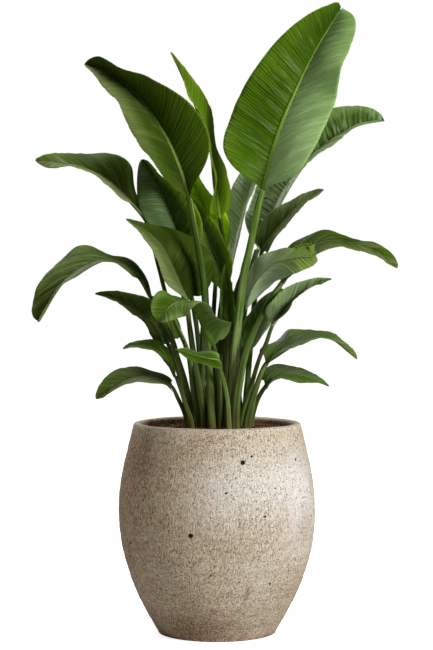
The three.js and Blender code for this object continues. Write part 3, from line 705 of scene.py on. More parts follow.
# %% The blade's skin
def blade_skin(leaf):
    """A closed skin for one blade, with its midrib, pleats and margin."""
    shape = leaf.shape
    length = leaf.total - leaf.neck
    rows = int(length / BLADE_ROWS)
    side_columns = int(np.clip(shape["half"] / 3.6, 9, 22))
    u = np.linspace(0, 1, rows)
    u = u + 0.02 * np.sin(2 * math.pi * u) / math.pi
    start = leaf.neck + BLADE_START
    at, along, across, up = (v[:, None, :] for v in leaf.frame(start + u * (leaf.total - start)))
    place = np.interp(leaf.neck + u * length, leaf.lengths, leaf.places) - len(shape["stalk"])
    turn, lift = (np.radians(through(shape[key], place / (len(shape["blade"]) - 1)))[:, None]
                  for key in ("roll", "fold"))
    width, rib = (v[:, None] for v in leaf.widths(u))
    share = np.linspace(0, 1, side_columns + 1) ** 1.5
    q = np.concatenate([-share[::-1], share[1:]])[None, :]
    sign = np.where(q < 0, -1.0, 1.0)
    lean = lift + sign * turn + SOLID_BEND / 2
    slope = lean - SOLID_BEND * np.abs(q)
    out = width * (np.sin(lean) - np.sin(slope)) / SOLID_BEND
    rise = width * (np.cos(slope) - np.cos(lean)) / SOLID_BEND
    row_u = u[:, None]
    shoulder = np.maximum(row_u - 0.03, 0) / 0.05
    back = shape["lobe"] * shoulder * np.exp(1 - shoulder) - shape["notch"] * row_u ** 14
    back = back * np.maximum(0, (np.abs(q) - 0.45) / 0.55) ** 2
    points = at + (sign * out)[..., None] * across + rise[..., None] * up - back[..., None] * along
    x = q * width
    near = np.clip(np.abs(x) / (1.6 * rib), 0, 1)[..., None]
    near = near * near * (3 - 2 * near)
    halfway = -np.sin(turn)[..., None] * across + np.cos(turn)[..., None] * up
    outward = (-sign * np.sin(slope))[..., None] * across + np.cos(slope)[..., None] * up
    normal = halfway * (1 - near) + outward * near
    normal /= np.linalg.norm(normal, axis=-1)[..., None]
    s = (u * length)[:, None] + 0 * x
    sheet = points + relief(leaf, s, x, q, row_u + 0 * x, rib + 0 * x)[..., None] * normal
    inside = np.clip(1 - (x / (0.75 * rib)) ** 2, 0, 1)
    crest = 0.3 * rib * inside
    ridge = 1.15 * rib * np.sqrt(inside)
    thick = np.minimum(BLADE_THICKNESS, 0.5 + width / 30) * (1 - 0.45 * np.abs(q) ** 6)
    top = sheet + crest[..., None] * normal
    under = sheet - (thick + ridge)[..., None] * normal
    columns = q.shape[1]
    ring = np.concatenate([top, under[:, ::-1]], 1)
    squares = tube_faces(rows, 2 * columns)
    faces = squares.tolist()
    for start, flip in ((0, 1), ((rows - 1) * 2 * columns, -1)):
        faces += [[start + k, start + 2 * columns - 1 - k, start + 2 * columns - 2 - k, start + k + 1][::flip]
                  for k in range(columns - 1)]
    is_under = (squares[:, 0] % (2 * columns)) >= columns - 1
    caps = np.ones(2 * (columns - 1), int)
    # painted light shining through the blade towards the tip and on the outer parts
    # painted sheen above 0 and painted shade below 0 on each half, and painted sheen on the rims
    pale = np.where(x < 0, *(through(shape[half], u ** 0.8)[:, None] for half in ("left", "right")))
    rim = np.where(x < 0, *shape["rim_sheen"]) * np.clip((np.abs(q) - 0.5) / 0.3, 0, 1)
    glow = shape["glow"] * np.clip((row_u - 0.42) / 0.2, 0, 1)
    edge = np.where(x < 0, *shape["edge"]) * np.clip((np.abs(q) - 0.5) / 0.25, 0, 1)
    lines = np.where(x < 0, *shape["lines"])

    def kept(*values):
        """Numbers for both faces of the blade, three at each point."""
        upper = np.stack([value + 0 * x for value in values], -1)
        return np.concatenate([upper, upper[:, ::-1]], 1)

    numbers = {
        "place": kept(vein_place(leaf, s, x), x, rib) * MM,
        "spot": kept(row_u, q, leaf.number),
        # painted sheen and shade, painted light, and how strongly the vein lines show
        "painted_light": kept(np.clip(pale + rim, -1, 1), np.maximum(glow, edge), lines),
    }
    return skin(f"paddle_{leaf.number:02d}", ring.reshape(-1, 3) * MM, faces, numbers,
                np.concatenate([is_under, caps]))


# %% [markdown]
# ## Stalks and spears
#
# A stalk is thick and flattened where it sheathes its neighbours at the soil and slims towards
# the neck. It is round below and has a shallow channel above, which the midrib goes on with. A
# young leaf comes up the same way, rolled tight round itself, so its skin is a stalk's too: it
# swells and then tapers to a point, and the edge of the roll winds up it as a seam.

# %% The stalk's skin
STALK_AROUND = 20
STALK_ROWS = 5  # mm between them
SHEATH_SWELL = 0.15
SHEATH_HEIGHT = 110


def stalk_skin(shoot, name, swell=1.08, seam_turn=0.0, seam_depth=0.22):
    """A closed skin for one stalk or spear, with its channel or seam and its lengthwise ribs."""
    rows = int(shoot.neck / STALK_ROWS)
    distance = np.linspace(0, shoot.neck, rows)
    at, _, across, up = (v[:, None, :] for v in shoot.frame(distance))
    way = (distance / shoot.neck)[:, None]
    angle = np.linspace(0, 2 * math.pi, STALK_AROUND, endpoint=False)[None, :]
    radius = swell * through(shoot.shape["radius"], way)
    lumps = 1 + 0.035 * ripples(shoot.luck, distance[:, None], (37, 90), (0.5, 1))
    off_seam = (angle - math.pi / 2 - seam_turn * way + math.pi) % (2 * math.pi) - math.pi
    groove = seam_depth * np.exp(-(off_seam / 0.55) ** 2) * np.clip(way * 3, 0, 1)
    ribs = 0.018 * np.cos(7 * angle + shoot.number)
    swollen = radius * lumps * (1 - groove + ribs)
    sheath = 1 + SHEATH_SWELL * np.exp(-distance[:, None] / SHEATH_HEIGHT)
    points = at + (swollen * sheath * np.cos(angle))[..., None] * across
    points = points + (swollen * np.sin(angle))[..., None] * up
    ends = [list(range(STALK_AROUND))[::-1],
            [(rows - 1) * STALK_AROUND + k for k in range(STALK_AROUND)]]
    faces = tube_faces(rows, STALK_AROUND).tolist() + ends
    level = 0 * way + 0 * angle
    numbers = {
        "place": np.stack([distance[:, None] * MM + level, angle + level, level], -1),
        "spot": np.stack([way + level, level, shoot.number + level], -1),
    }
    return skin(name, points.reshape(-1, 3) * MM, faces, numbers)


# %% [markdown]
# ## Leaf finishes
#
# The side veins are one pattern wherever they show, so they are a node group: it is told where a
# point lies on the leaf, and puts out streaks, fine lines, the midrib, the margin and a height.

# %% Veins as a node group
VEIN_SPACING = 0.0056

veins, vein_in, vein_out = group_tree(
    "side_veins", ["Place", "Spot"],
    ["Lines", "Fine", "Glints", "Patches", "Midrib", "Margin", "Outer", "Height"])
along_leaf, from_rib, rib_width = parts(veins, vein_in.outputs["Place"])
_, side_share, leaf_number = parts(veins, vein_in.outputs["Spot"])
out_from_rib = sums(veins, "ABSOLUTE", from_rib)
half_number = times_plus(veins, leaf_number, 3.7, sums(veins, "SIGN", from_rib))
vein_vector = wire(veins, "CombineXYZ", {0: along_leaf, 1: out_from_rib, 2: half_number}).outputs[0]


def streaks(stretch, detail, roughness):
    """Noise that is drawn out along the side veins."""
    return noise(veins, scaled(veins, vein_vector, stretch), 1.0, detail, roughness)


wander = times(veins, streaks((70, 24, 1), 2.0, 0.5), 11.0)
wave = sums(veins, "SINE", times_plus(veins, along_leaf, 2 * math.pi / VEIN_SPACING, wander))
lines = times(veins, ramp(veins, wave, -0.3, 0.8), ramp(veins, streaks((130, 30, 1), 1.0, 0.5), 0.3, 0.6))
fine = streaks((330, 14, 1), 1.0, 0.6)
outer = sums(veins, "ABSOLUTE", side_share)
rib_share = sums(veins, "DIVIDE", out_from_rib, rib_width)
rib_height = times_plus(veins, ramp(veins, rib_share, 1.1, 0.1), 1.6, fine)
for key, value in {
    "Lines": lines,
    "Fine": ramp(veins, fine, 0.3, 0.7),
    "Glints": ramp(veins, streaks((150, 13, 2), 3.0, 0.65), 0.5, 0.66),
    "Patches": ramp(veins, streaks((17, 14, 1), 3.0, 0.55), 0.35, 0.68),
    "Midrib": ramp(veins, rib_share, 0.75, 0.5),
    "Margin": ramp(veins, outer, 0.965, 0.998),
    "Outer": ramp(veins, outer, 0.3, 0.95),
    "Height": times_plus(veins, lines, -0.35, rib_height),
}.items():
    veins.links.new(value, vein_out.inputs[key])
print("vein group nodes:", len(veins.nodes))

# %% The greens
# upper face, its outer part, its painted sheen and glints, under face, midrib
GREENS = {
    "fresh": ((54, 84, 4), (80, 114, 10), (148, 178, 122), (84, 104, 52), (112, 146, 38)),
    "bright": ((74, 106, 6), (112, 134, 12), (128, 152, 60), (96, 128, 22), (124, 148, 50)),
    # lit is painted light: a leaf coloured as if light shone through it from behind
    "lit": ((150, 206, 0), (160, 212, 8), (170, 214, 50), (82, 118, 14), (150, 186, 40)),
    "mid": ((58, 86, 10), (78, 106, 18), (124, 146, 94), (62, 88, 18), (112, 136, 64)),
    "deep": ((46, 66, 8), (56, 80, 8), (118, 126, 82), (56, 76, 18), (100, 120, 56)),
    "olive": ((56, 78, 12), (68, 94, 14), (130, 134, 98), (78, 92, 32), (70, 80, 40)),
    "blue": ((48, 72, 22), (62, 88, 30), (106, 130, 94), (62, 84, 32), (88, 110, 54)),
    "grey": ((56, 82, 22), (78, 106, 38), (166, 184, 144), (116, 136, 96), (116, 138, 78)),
    "pale": ((88, 114, 58), (102, 130, 70), (164, 184, 138), (118, 142, 92), (130, 152, 92)),
}
print("greens:", *GREENS)

# %% The blade's finish
# the darkest green: painted shade, and also the dark of the vein lines and patches
SHADE_GREEN = shade(14, 24, 2)
# painted light, as if shining through the blade
PAINTED_GLOW = shade(112, 142, 16)
LEAF_SHEEN = (0.8, 1.0, 0.2, 1)
LEAF_RELIEF = 0.0018


def between(first, second, amount):
    """A colour partway from first to second."""
    return tuple(a + (b - a) * amount for a, b in zip(first, second))


def blade_finish(name, base, fresh, painted_light, rib, roughness):
    """A veined, waxy leaf face, with painted sheen, painted shade and painted light shining through."""
    material, tree, shader = fresh_material(name, roughness, 0.15)
    shader.inputs["Specular Tint"].default_value = LEAF_SHEEN
    vein = use_group(tree, veins, {key: at_point(tree, key.lower()) for key in ("Place", "Spot")})
    painted_sheen_and_shade, painted_glow, line_strength = parts(tree, at_point(tree, "painted_light"))
    # painted sheen where the number is above 0, painted shade where it is below 0
    pale = sums(tree, "MAXIMUM", painted_sheen_and_shade, 0)
    dark = sums(tree, "MAXIMUM", times(tree, painted_sheen_and_shade, -1), 0)
    near_rib = times_plus(tree, vein["Outer"], -0.6, 0.8)
    # painted glints of sheen along the veins, strongest near the midrib
    sheen = times(tree, vein["Glints"], near_rib, line_strength, 0.35)
    painted_sheen_pattern = times_plus(tree, vein["Patches"], 0.25, times_plus(tree, vein["Glints"], 0.25, 0.6))
    lined = times_plus(tree, vein["Fine"], 0.4, times(tree, vein["Lines"], 0.75))
    lined = times(tree, lined, line_strength, times_plus(tree, near_rib, 0.95, 0.05),
                  times_plus(tree, pale, -0.35, 1.0), 0.8)
    green = blend(tree, vein["Patches"], between(base, SHADE_GREEN, 0.2), base)
    green = coats(tree, green,
                  (times(tree, vein["Outer"], 0.45), fresh),
                  # painted sheen, in glints and over the pale halves and rims
                  (sheen, painted_light),
                  (times(tree, painted_sheen_pattern, pale), painted_light),
                  # painted shade
                  (times(tree, dark, 0.9), SHADE_GREEN),
                  # painted light shining through the blade
                  (painted_glow, PAINTED_GLOW),
                  (sums(tree, "MINIMUM", lined, 0.85), between(base, SHADE_GREEN, 0.75)),
                  (times(tree, vein["Margin"], 0.5), rib),
                  (vein["Midrib"], rib))
    gloss = times_plus(tree, vein["Patches"], -0.08, roughness + 0.06)
    gloss = times_plus(tree, vein["Fine"], 0.1, gloss)
    surface(tree, shader, green, gloss, vein["Height"], 0.9, LEAF_RELIEF)
    return material


greens = {}
for tone, colours in GREENS.items():
    upper, streak, painted_light, under, rib = (shade(*colour) for colour in colours)
    greens[tone] = (blade_finish(f"{tone}_leaf_top", upper, streak, painted_light, rib, 0.42),
                    # the under face's outer part is halfway to the painted sheen colour
                    blade_finish(f"{tone}_leaf_under", under, between(under, painted_light, 0.5), painted_light,
                                 between(under, SHADE_GREEN, 0.35), 0.55))
print("leaf finishes:", len(greens))

# %% The stalk's finish
# pale lengthwise lines along the stalks, partly a painted highlight
STALK_LINES = shade(136, 152, 92)
# painted shade, painted light, foot, papery sheath
STALKS = {
    # leaves 1 and 12: a paler stalk, partly a painted highlight
    "light": ((56, 84, 20), (128, 150, 92), (120, 74, 44), (112, 108, 76)),
    "green": ((32, 50, 12), (74, 104, 46), (104, 62, 34), (82, 68, 42)),
    # stalks at the back of the clump: painted shade
    "dark": ((22, 34, 8), (50, 64, 28), (84, 50, 28), (62, 46, 32)),
    # the rolled young leaves: darker greens as painted shade in the middle of the clump
    "rolled": ((28, 42, 8), (54, 76, 26), (76, 52, 24), (40, 50, 20)),
}


def stalk_finish(name, shaded, lit, foot, papery):
    """A satin stalk with fine lines along it, patches of painted light and painted shade, browner towards the
    soil.
    """
    material, tree, shader = fresh_material(name, 0.42, 0.42)
    shader.inputs["Specular Tint"].default_value = LEAF_SHEEN
    up_stalk, turn, _ = parts(tree, at_point(tree, "place"))
    way, _, number = parts(tree, at_point(tree, "spot"))
    around = wire(tree, "CombineXYZ", {0: sums(tree, "COSINE", turn), 1: sums(tree, "SINE", turn),
                                       2: times_plus(tree, up_stalk, 4.0, number)}).outputs[0]

    def drawn_out(stretch, detail, roughness):
        return noise(tree, scaled(tree, around, stretch), 1.0, detail, roughness)

    lines = drawn_out((6, 6, 1), 3.0, 0.6)
    painted_light_patches = drawn_out((1.2, 1.2, 3), 2.0, 0.5)
    dry = times(tree, ramp(tree, up_stalk, 0.075, 0.03, 0.0, 0.9),
                ramp(tree, drawn_out((2.2, 2.2, 14), 3.0, 0.6), 0.48, 0.62))
    paper = times(tree, ramp(tree, drawn_out((3.0, 3.0, 1.5), 2.0, 0.6), 0.47, 0.6),
                  ramp(tree, up_stalk, 0.3, 0.12, 0.0, 0.5))
    # painted light and painted shade, laid in broad patches around the stalk
    green = coats(tree, blend(tree, ramp(tree, painted_light_patches, 0.35, 0.65), shaded, lit),
                  (times(tree, ramp(tree, lines, 0.4, 0.7), 0.22), STALK_LINES),
                  # darker towards the neck, with more of the painted shade colour
                  (ramp(tree, way, 0.3, 0.8, 0.0, 0.7), shaded),
                  (dry, foot),
                  (paper, papery))
    surface(tree, shader, green, times_plus(tree, lines, 0.2, 0.3), lines, 0.6, 0.0008)
    return material


stalks = {tone: stalk_finish(f"{tone}_stalk", *(shade(*colour) for colour in colours))
          for tone, colours in STALKS.items()}
print("stalk finishes:", len(stalks))

# %% All the leaves and spears
for leaf in leaves:
    dress(blade_skin(leaf), leaf.name + "_blade", "leaf", *greens[leaf.shape["tone"]])
    dress(stalk_skin(leaf, f"stem_{leaf.number:02d}"), leaf.name + "_stalk", "stalk",
          stalks[leaf.shape["stalk_tone"]])
for number, spear in enumerate(spears, 1):
    dress(stalk_skin(spear, f"rolled_leaf_{number}", 1.35, 5.0, 0.3), spear.name, "leaf", stalks["rolled"])

# %% [markdown]
# ## The pot
#
# The pot is thrown stoneware. It was turned on a wheel, so its wall carries shallow rings from
# the potter's fingers, a rolled lip and a narrow foot. The clay holds coarse dark grains that
# burn through in the kiln, small pits where bits fell out, painted nearly black inside as painted
# shade, and clouds of paler and browner colour: the paler ones at the front right are partly a
# painted pool of light, and the browner ones on the left side are painted warm shade. Only the
# shape needs points: a fine lathe with the rings and pits as real dents. The grains are smaller
# than a point of the skin, so they belong to the material.

# %% The pot's outline
POT_TURNS = 280
FOOT_RADIUS = 118
INNER_FLOOR = (16, 106)
WALL_RADIUS = 190  # for distances around the wall
WALL_ROWS, LIP_ROWS, INSIDE_ROWS = 1.9, 1.2, 6  # mm between them
INNER_LIP_ROWS = 5  # the last rows of the lip have the inside's colour
DRAIN_RADIUS = 7
DRAIN_EDGE = 28  # points around a hole
DRAINS = [(45 * math.cos(math.radians(turn)), 45 * math.sin(math.radians(turn))) for turn in (60, 180, 300)]
# height and radius in mm, up the outside
POT_OUTSIDE = [(0, FOOT_RADIUS), (5, 120), (11, 124), (30, 135), (60, 151), (95, 167), (130, 179),
               (170, 190), (210, 195.5), (245, 197), (285, 195), (325, 189), (365, 180), (400, 171.5),
               (413, 167.9)]
# over the lip and down the inside
POT_LIP = [(413, 167.9), (416, 167.2), (418.4, 165.2), (419.8, 162.5), (420, 159.5), (419.6, 156.6),
           (418, 154.1), (415.6, 152.7), (412, 152.6)]
POT_INSIDE = [(412, 152.6), (400, 157.5), (365, 166), (325, 175), (285, 181), (245, 183), (210, 181.5),
              (170, 176), (130, 165), (95, 153), (60, 137), (32, 122), (19, 112), INNER_FLOOR]


def outline(points, spacing):
    """Points on the smooth curve through an outline, about spacing mm apart."""
    line, _ = smooth_line([(z, r, 0) for z, r in points], 40)
    run = np.append(0, np.cumsum(np.linalg.norm(np.diff(line, axis=0), axis=1)))
    at = np.linspace(0, run[-1], max(2, int(run[-1] / spacing)))
    return np.stack([np.interp(at, run, line[:, 0]), np.interp(at, run, line[:, 1])], -1)


outside_line = outline(POT_OUTSIDE, WALL_ROWS)
lip_line = outline(POT_LIP, LIP_ROWS)[1:]
profile = np.vstack([outside_line, lip_line, outline(POT_INSIDE, INSIDE_ROWS)[1:]])
outside_rows = len(outside_line)
lip_rows = outside_rows + len(lip_line)
print("rows on the pot:", len(profile))

# %% Rings, pits and clouds of colour
# turned from the front to the right in degrees, height in mm, half width in mm
PITS = [(15.7, 357, 4.6), (-15, 218, 4.4), (-47, 279, 2.4), (27.7, 253, 2.6), (22, 368, 2.2),
        (58, 355, 2.6), (-4, 140, 1.8), (-62, 190, 2.4), (36, 118, 2.0), (5, 300, 1.6),
        (-30, 345, 1.9), (71, 240, 2.2)]
PITS += [(chance.uniform(85, 275), chance.uniform(60, 395), chance.uniform(1.4, 3.6)) for _ in range(26)]
# the same, with half width, half height and strength
# the first four pale clouds, where the main lamp falls, are partly a painted pool of light
PALE_CLOUDS = [(30, 320, 110, 80, 0.48), (64, 260, 80, 140, 0.75), (0, 290, 100, 90, 0.4),
               (25, 130, 70, 70, 0.4), (150, 330, 110, 60, 0.8), (-120, 260, 90, 80, 0.5),
               (215, 180, 110, 70, 0.6)]
# the brown clouds at -90 and -60 degrees, on the side away from the main lamp, are painted warm shade
TAN_CLOUDS = [(62, 228, 34, 60, 0.5), (-90, 230, 150, 220, 1.0), (-20, 28, 150, 36, 0.9),
              (-60, 350, 60, 50, 0.5), (20, 102, 7, 26, 0.8), (190, 90, 140, 50, 0.7),
              (110, 250, 70, 100, 0.5), (-20, 160, 60, 26, 0.3)]
print("pits:", len(PITS), "clouds:", len(PALE_CLOUDS + TAN_CLOUDS))


def on_wall(azimuth, height, at_azimuth, at_height):
    """How far around and how far up every point is from a place on the wall, in mm."""
    turn = (azimuth - at_azimuth + 180) % 360 - 180
    return np.radians(turn) * WALL_RADIUS, height - at_height


def clouds(places, azimuth, height):
    """Soft-edged patches from 0 to 1."""
    total = 0
    for at_azimuth, at_height, half_width, half_height, strength in places:
        around, up = on_wall(azimuth, height, at_azimuth, at_height)
        total = total + strength * np.exp(-(around / half_width) ** 2 - (up / half_height) ** 2)
    return np.clip(total, 0, 1)


# %% The pot's floor, with its drain holes
def circle(radius, count, middle=(0, 0)):
    """Points around a circle."""
    return [(middle[0] + radius * math.cos(a), middle[1] + radius * math.sin(a))
            for a in np.linspace(0, 2 * math.pi, count, endpoint=False)]


def drained_disc(radius, height, first, rim_first):
    """Faces and new points of a flat disc with the drain holes, joined to a ring of points."""
    flat = circle(radius, POT_TURNS)
    edges = [(k, (k + 1) % POT_TURNS) for k in range(POT_TURNS)]
    for drain in DRAINS:
        edges += [(len(flat) + k, len(flat) + (k + 1) % DRAIN_EDGE) for k in range(DRAIN_EDGE)]
        flat += circle(DRAIN_RADIUS, DRAIN_EDGE, drain)
    for inner in (20, 70, 90):
        flat += circle(inner, int(inner * 0.6))
    corners, _, triangles, *_ = delaunay_2d_cdt([Vector(p) for p in flat], edges, [], 0, 1e-5)
    kept = []
    for triangle in triangles:
        middle = sum((corners[k] for k in triangle), Vector((0, 0))) / 3
        if min(math.dist(middle, drain) for drain in DRAINS) > DRAIN_RADIUS:
            kept.append([rim_first + k if k < POT_TURNS else first + k - POT_TURNS for k in triangle])
    return [(p.x, p.y, height) for p in corners[POT_TURNS:]], kept


# %% The pot's skin
def pot_skin():
    """The lathed pot, with throwing rings, pits and three drain holes."""
    height, radius = profile[:, :1], profile[:, 1:]
    turn = np.linspace(0, 2 * math.pi, POT_TURNS, endpoint=False)[None, :]
    azimuth = (np.degrees(turn) + 90) % 360
    slope = np.gradient(profile, axis=0)
    out = np.stack([-slope[:, 1], slope[:, 0]], -1) / np.linalg.norm(slope, axis=1)[:, None]
    row = np.arange(len(profile))[:, None]
    outside = np.clip((outside_rows - row) / 8, 0, 1) * np.clip(height / 14, 0, 1)
    wobble = 6 * np.sin(turn + 0.7) + 3 * np.sin(2 * turn + 2)
    rings = ripples(np.random.default_rng(3), height + wobble * 0.5, (7.5, 12, 19, 34),
                    (0.06, 0.10, 0.16, 0.22))
    swings = 0.5 * np.sin(3 * turn + height / 60) + 0.4 * np.sin(5 * turn - height / 35)
    pit = 0
    for at_azimuth, at_height, size in PITS:
        around, up = on_wall(azimuth, height, at_azimuth, at_height)
        pit = np.maximum(pit, np.exp(-((around / size) ** 2 + (up / size) ** 2) ** 1.5))
    lip_dents = 0.3 * np.sin(6 * turn + 1) * np.clip((row - outside_rows + 14) / 14, 0, 1) * (row < lip_rows)
    push = outside * (rings + 0.5 * swings - 2.2 * pit) + lip_dents
    r = radius + push * out[:, 1:]
    z = height + push * out[:, :1] * (height > 1)
    points = np.stack([r * np.cos(turn), r * np.sin(turn), z + 0 * turn], -1).reshape(-1, 3)
    faces = tube_faces(len(profile), POT_TURNS).tolist()
    floor_z, floor_radius = INNER_FLOOR
    under, under_faces = drained_disc(FOOT_RADIUS, 0, len(points), 0)
    floor_points, floor_faces = drained_disc(floor_radius, floor_z, len(points) + len(under),
                                             (len(profile) - 1) * POT_TURNS)
    faces += [face[::-1] for face in under_faces] + floor_faces
    for hole in range(len(DRAINS)):
        low = len(points) + hole * DRAIN_EDGE
        high = low + len(under)
        faces += [[low + k, high + k, high + n, low + n]
                  for k, n in ((k, (k + 1) % DRAIN_EDGE) for k in range(DRAIN_EDGE))]
    level = 0 * height + 0 * azimuth
    numbers = {
        # the pits, painted shade inside, and clouds that are partly painted light and shade
        "clay": [pit * (outside > 0), clouds(PALE_CLOUDS, azimuth, height),
                 clouds(TAN_CLOUDS, azimuth, height)],
        "wall": [(row >= lip_rows - INNER_LIP_ROWS) + level, level, height * MM + level],
    }
    plain_ends = np.zeros((len(under) + len(floor_points), 3))
    numbers = {key: np.vstack([np.stack(values, -1).reshape(-1, 3), plain_ends])
               for key, values in numbers.items()}
    return skin("thrown_pot", np.vstack([points, under, floor_points]) * MM, faces, numbers)


pot = pot_skin()
print("pot faces:", len(pot.data.polygons))

# %% [markdown]
# ## Stoneware
#
# Grains show on the pot outside and inside, so they are a group too: dark grains, pale grains,
# fine scratches and a height. Each is a number, so that the material decides the colours.

# %% Grains as a node group
grains, grain_in, grain_out = group_tree("clay_grains", ["Point"], ["Dark", "Pale", "Fine", "Height"])
grain_point = grain_in.outputs["Point"]


def grain_layer(spacing, threshold, seed_move):
    """Grains of one size: cells whose own random number passes the threshold."""
    moved = wire(grains, "VectorMath", {0: grain_point, 1: seed_move}, operation="ADD").outputs[0]
    dust = wire(grains, "TexNoise", {"Vector": moved, "Scale": 900, "Detail": 1.0}).outputs["Color"]
    nudged = wire(grains, "VectorMath", {0: dust, 1: (0.0008, 0.0008, 0.0008), 2: moved},
                  operation="MULTIPLY_ADD").outputs[0]
    cells = wire(grains, "TexVoronoi", {"Vector": nudged, "Scale": spacing})
    odds = wire(grains, "SeparateColor", {0: cells.outputs["Color"]}).outputs
    size = sums(grains, "ADD", times(grains, odds[1], 0.26), 0.14)
    inside = sums(grains, "SUBTRACT", size, cells.outputs["Distance"])
    chosen = sums(grains, "GREATER_THAN", odds[0], threshold)
    return times(grains, ramp(grains, inside, -0.04, 0.1), chosen)


dark_grains = sums(grains, "MAXIMUM", grain_layer(250, 0.8, (0, 0, 0)), grain_layer(420, 0.7, (3, 1, 2)))
pale_grains = sums(grains, "MAXIMUM", grain_layer(190, 0.6, (5, 2, 7)), grain_layer(320, 0.5, (8, 8, 1)))
scratches = noise(grains, scaled(grains, grain_point, (430, 430, 620)), 1.0, 2.0, 0.8)
drags = noise(grains, scaled(grains, grain_point, (540, 540, 110)), 1.0, 2.0, 0.7)
fine_clay = times_plus(grains, drags, 0.5, times(grains, scratches, 0.5))
grain_height = sums(grains, "SUBTRACT", times_plus(grains, fine_clay, 2.0, pale_grains),
                    times(grains, dark_grains, 1.2))
for key, value in (("Dark", dark_grains), ("Pale", pale_grains), ("Fine", fine_clay),
                   ("Height", grain_height)):
    grains.links.new(value, grain_out.inputs[key])
print("grain group nodes:", len(grains.nodes))

# %% The stoneware
def stoneware_finish():
    """Rough beige stoneware: bands, grains, a bare foot, pits in painted shade, clouds partly painted light
    and shade.
    """
    material, tree, shader = fresh_material("stoneware", 0.88, 0.2)
    point = wire(tree, "TexCoord").outputs["Object"]
    pit, pale_cloud, tan_cloud = parts(tree, at_point(tree, "clay"))
    is_inside, _, height = parts(tree, at_point(tree, "wall"))
    grain = use_group(tree, grains, {"Point": point})
    broad = noise(tree, scaled(tree, point, (7, 7, 13)), 1.0, 4.0, 0.6)
    bands = noise(tree, scaled(tree, point, (2.2, 2.2, 85)), 1.0, 3.0, 0.6)
    mottle = noise(tree, point, 55.0, 4.0, 0.65)
    drips = noise(tree, scaled(tree, point, (150, 150, 9)), 1.0, 2.0, 0.6)
    dashes = noise(tree, scaled(tree, point, (28, 28, 210)), 1.0, 2.0, 0.6)
    ragged = times(tree, mottle, 0.7)
    pale = ramp(tree, times_plus(tree, pale_cloud, 1.0, ragged), 0.4, 1.5)
    tan = times(tree, ramp(tree, times_plus(tree, tan_cloud, 1.0, ragged), 0.4, 1.4), 0.9)
    worn = times(tree, ramp(tree, broad, 0.45, 0.65), ramp(tree, drips, 0.52, 0.68, 0.0, 0.5))
    scored = times(tree, ramp(tree, broad, 0.55, 0.35), ramp(tree, dashes, 0.54, 0.68, 0.0, 0.5))
    foot = times(tree, ramp(tree, height, 0.009, 0.002), ramp(tree, mottle, 0.2, 0.5, 0.5, 0.85))
    rough_clay = times_plus(tree, pale, -0.4, ramp(tree, mottle, 0.35, 0.6, 0.55, 0.95))
    colour = blend(tree, ramp(tree, broad, 0.3, 0.7), shade(162, 140, 110), shade(184, 170, 146))
    colour = coats(tree, colour,
                   (times(tree, ramp(tree, bands, 0.42, 0.66), 0.35), shade(150, 128, 100)),
                   (ramp(tree, mottle, 0.5, 0.7, 0.0, 0.45), shade(142, 118, 88)),
                   # the pale clouds, partly a painted pool of light at the front right
                   (pale, shade(215, 215, 214)),
                   # the brown clouds, those on the left painted warm shade
                   (tan, shade(120, 80, 30)),
                   (worn, shade(124, 98, 66)),
                   (scored, shade(120, 94, 62)),
                   (times(tree, ramp(tree, height, 0.407, 0.415), 0.45), shade(196, 186, 168)),
                   (times(tree, is_inside, ramp(tree, broad, 0.35, 0.6, 0.3, 0.75)), shade(142, 102, 64)),
                   (foot, shade(150, 100, 68)),
                   (times(tree, ramp(tree, grain["Fine"], 0.51, 0.4), rough_clay), shade(104, 80, 50)),
                   (times(tree, ramp(tree, grain["Fine"], 0.48, 0.6), 0.6), shade(222, 214, 200)),
                   (times(tree, grain["Pale"], 0.35), shade(226, 220, 208)),
                   (times(tree, grain["Dark"], 0.8), shade(62, 46, 28)),
                   # the pits painted nearly black inside: painted shade in the dents
                   (ramp(tree, pit, 0.15, 0.5), shade(24, 16, 9)))
    surface(tree, shader, colour, times_plus(tree, grain["Fine"], 0.2, 0.68),
            times_plus(tree, bands, 0.8, grain["Height"]), 0.9, 0.0016)
    return material


dress(pot, "pot", "stoneware", stoneware_finish())
print("stoneware nodes:", len(pot.data.materials[0].node_tree.nodes))

# %% [markdown]
# ## Soil
#
# Potting mix is peat, bark and crumbs of all sizes. The bed below is one closed lump that fills
# the pot, with an uneven top. The crumbs that catch the light lie loose on it as small lumps of
# their own, thickest around the feet of the stalks.

# %% The soil bed
SOIL_RINGS = 60
SOIL_TURNS = 180
SOIL_FOOT = 16.6
SOIL_EDGE = 405.5  # height at the wall
SOIL_RISE = 5.2  # and how much higher it is in the middle
SOIL_RADIUS = 152
SOIL_TOP = 411


